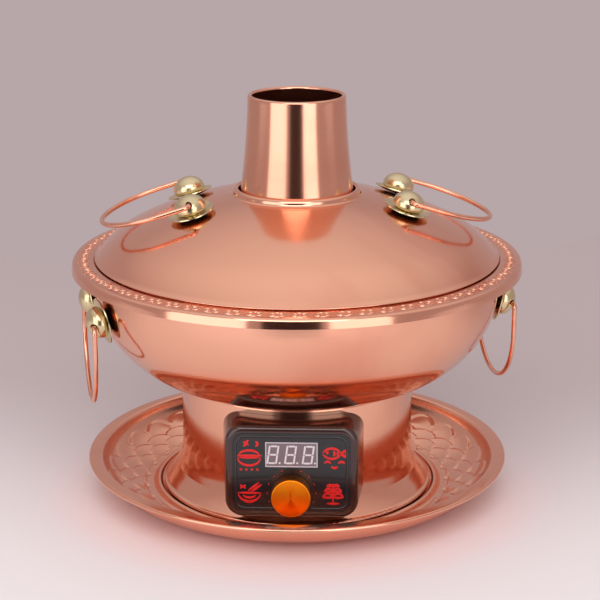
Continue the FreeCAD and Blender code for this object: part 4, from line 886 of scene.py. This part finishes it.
    def add_display_frame(self):
        """Pale frame round the display: a small square section carried round a rectangle."""
        inset = 0.5
        section = np.array([[0.5, 0.1], [0.5, -0.12], [-0.35, -0.12], [-0.35, 0.1]])
        low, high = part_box("display")
        x0, x1 = low[0] / MM + inset, high[0] / MM - inset
        z0, z1 = low[2] / MM + inset, high[2] / MM - inset
        path = np.array([[x0, z0], [x1, z0], [x1, z1], [x0, z1]])
        out = np.sign(path - path.mean(0))
        ring = path[:, None, :] + out[:, None, :] * section[None, :, :1]
        item = self.carried_tube("display_frame", ring, low[1] / MM + section[:, 1])
        material = grained_finish("frame_finish", (0.52, 0.48, 0.52), (0.58, 0.54, 0.58),
                                  rough=(0.35, 0.45), size=300.0)
        seat(item, material, "pot", "display_white")

    def add_bezel(self, face):
        """Raised edge of the face plate: a half round section round a rounded rectangle."""
        inset, corner = 2.4, 6.5
        width, height, root = 0.9, 0.75, 0.03
        low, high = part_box("face_plate")
        half = np.array([high[0] - low[0], high[2] - low[2]]) / MM / 2 - inset
        middle = np.array([high[0] + low[0], high[2] + low[2]]) / MM / 2
        turn = np.radians(np.arange(0, 360, 7.5) + 3.75)
        way = np.stack([np.cos(turn), np.sin(turn)], 1)
        path = middle + np.sign(way) * (half - corner) + way * corner
        share = np.linspace(0, math.pi, 7)
        ring = path[:, None, :] + way[:, None, :] * width * np.cos(share)[None, :, None]
        depth = low[1] / MM - height * np.sin(share) + root
        item = self.carried_tube("face_bezel", ring, depth, sharp=80.0)
        # The ridge is coloured lighter than the plate as a painted highlight along the raised edge.
        material = grained_finish("bezel_painted_highlight", face * 1.6, face * 2.2, rough=(0.12, 0.2),
                                  size=250.0, coat=0.4)
        seat(item, material, "pot", "black_plastic")

    def carried_tube(self, name, ring, depth, **looks):
        """A closed tube from its sections (x, z) round the path and the depths of one section."""
        depth = np.repeat(depth[None], len(ring), 0)
        verts = np.stack([ring[..., 0], depth, ring[..., 1]], -1).reshape(-1, 3) * MM
        item = fill_mesh(name, verts, grid_quads(*depth.shape, True, True), **looks)
        face_outwards(item)
        return item


class HOTPOT_OT_dial(bpy.types.Operator):
    """Orange turned metal dial"""

    bl_idname = "hotpot.dial"
    bl_label = "Dial"

    def execute(self, context):
        turned_lines = 4200.0
        first = np.array(context.scene.hot_pot_colours.dial)
        second = first * np.array([1.0, 0.72, 0.6])
        material, tree, shader = new_material("dial_finish")
        shader.inputs["Metallic"].default_value = 1.0
        shader.inputs["Anisotropic"].default_value = 0.85
        shader.inputs["Roughness"].default_value = 0.3
        place = add_node(tree, "ShaderNodeTexCoord")
        moved = add_node(tree, "ShaderNodeMapping", Location=(0.0, 0.0, -DIAL_LEVEL * MM))
        link(tree, place.outputs["Object"], moved.inputs["Vector"])
        parts = add_node(tree, "ShaderNodeSeparateXYZ")
        link(tree, moved.outputs[0], parts.inputs[0])
        radius = length_of(tree, parts.outputs[0], parts.outputs[2])
        lines = add_node(tree, "ShaderNodeTexNoise", noise_dimensions="1D", Scale=1.0, Detail=2.0)
        link(tree, math_node(tree, "MULTIPLY", radius, turned_lines), lines.inputs["W"])
        tone = mix_colours(tree, lines.outputs["Fac"], first, second)
        link(tree, tone, shader.inputs["Base Color"])
        bump(tree, shader, lines.outputs["Fac"], strength=0.5, distance=0.00004)
        tangent = add_node(tree, "ShaderNodeTangent", direction_type="RADIAL", axis="Y")
        link(tree, tangent.outputs[0], shader.inputs["Tangent"])
        paint("dial", material)
        return {"FINISHED"}


class HOTPOT_OT_inside(bpy.types.Operator):
    """Finishes of the heater, boards, screws, feet and inlet"""

    bl_idname = "hotpot.inside"
    bl_label = "Inner parts"

    def execute(self, context):
        # Colours, roughness from and to, grain size, grain depth, and 1 for a metal.
        finishes = {
            "steel": grained_finish("steel_finish", (0.60, 0.60, 0.62), (0.5, 0.5, 0.53),
                                    (0.25, 0.42), 500.0, 0.00001, 1.0),
            "aluminium": grained_finish("cast_finish", (0.62, 0.63, 0.65), (0.5, 0.51, 0.53),
                                        (0.4, 0.6), 350.0, 0.00006, 1.0),
            "board": grained_finish("board_finish", (0.02, 0.12, 0.05), (0.03, 0.16, 0.06),
                                    (0.3, 0.45), 500.0, 0.00001),
            "component": grained_finish("part_finish", (0.03, 0.03, 0.035), (0.05, 0.05, 0.055),
                                        (0.45, 0.6), 400.0, 0.00003),
            "rubber": grained_finish("rubber_finish", (0.02, 0.02, 0.02), (0.035, 0.035, 0.035),
                                     (0.65, 0.8), 300.0, 0.00008),
            "pin_metal": grained_finish("pin_finish", (0.78, 0.7, 0.5), (0.7, 0.6, 0.42),
                                        (0.2, 0.35), 500.0, 0.00001, 1.0),
        }
        for part in frame["record"]["subparts"]:
            if part["material_slot"] in finishes:
                paint(part["node"], finishes[part["material_slot"]])
        gloss = grained_finish("inlet_finish", (0.012, 0.01, 0.01), (0.02, 0.018, 0.018),
                               (0.25, 0.35), 400.0, 0.00001)
        paint("inlet_socket", gloss)
        return {"FINISHED"}


class HOTPOT_PT_panel(bpy.types.Panel):
    """Sizes, colours and operators of the hot pot"""

    bl_idname = "HOTPOT_PT_panel"
    bl_label = "Chimney Hot Pot"
    bl_space_type = "VIEW_3D"
    bl_region_type = "UI"
    bl_category = "Hot Pot"

    def draw(self, context):
        layout = self.layout
        for values in (context.scene.hot_pot_sizes, context.scene.hot_pot_colours):
            box = layout.box()
            for name in values.__annotations__:
                box.prop(values, name)
        for operator in OPERATORS:
            layout.operator(operator.bl_idname)


OPERATORS = (
    HOTPOT_OT_stage, HOTPOT_OT_tray, HOTPOT_OT_pedestal, HOTPOT_OT_bowl, HOTPOT_OT_chimney,
    HOTPOT_OT_lid, HOTPOT_OT_rings, HOTPOT_OT_control_box, HOTPOT_OT_dial, HOTPOT_OT_inside,
)
CLASSES = (HotPotSizes, HotPotColours) + OPERATORS + (HOTPOT_PT_panel,)


def register():
    """Register the classes and the scene's sizes and colours."""
    for item in CLASSES:
        bpy.utils.register_class(item)
    bpy.types.Scene.hot_pot_sizes = PointerProperty(type=HotPotSizes)
    bpy.types.Scene.hot_pot_colours = PointerProperty(type=HotPotColours)


def unregister():
    """Take the classes and the scene's sizes and colours away."""
    del bpy.types.Scene.hot_pot_colours
    del bpy.types.Scene.hot_pot_sizes
    for item in reversed(CLASSES):
        bpy.utils.unregister_class(item)


def main():
    """Build everything in order."""
    register()
    bpy.context.scene.view_settings.view_transform = "Standard"
    bpy.ops.hotpot.stage()
    bpy.ops.hotpot.tray()
    bpy.ops.hotpot.pedestal()
    bpy.ops.hotpot.bowl()
    bpy.ops.hotpot.chimney()
    bpy.ops.hotpot.lid()
    bpy.ops.hotpot.rings()
    bpy.ops.hotpot.control_box()
    bpy.ops.hotpot.dial()
    bpy.ops.hotpot.inside()


if __name__ == "__main__":
    main()
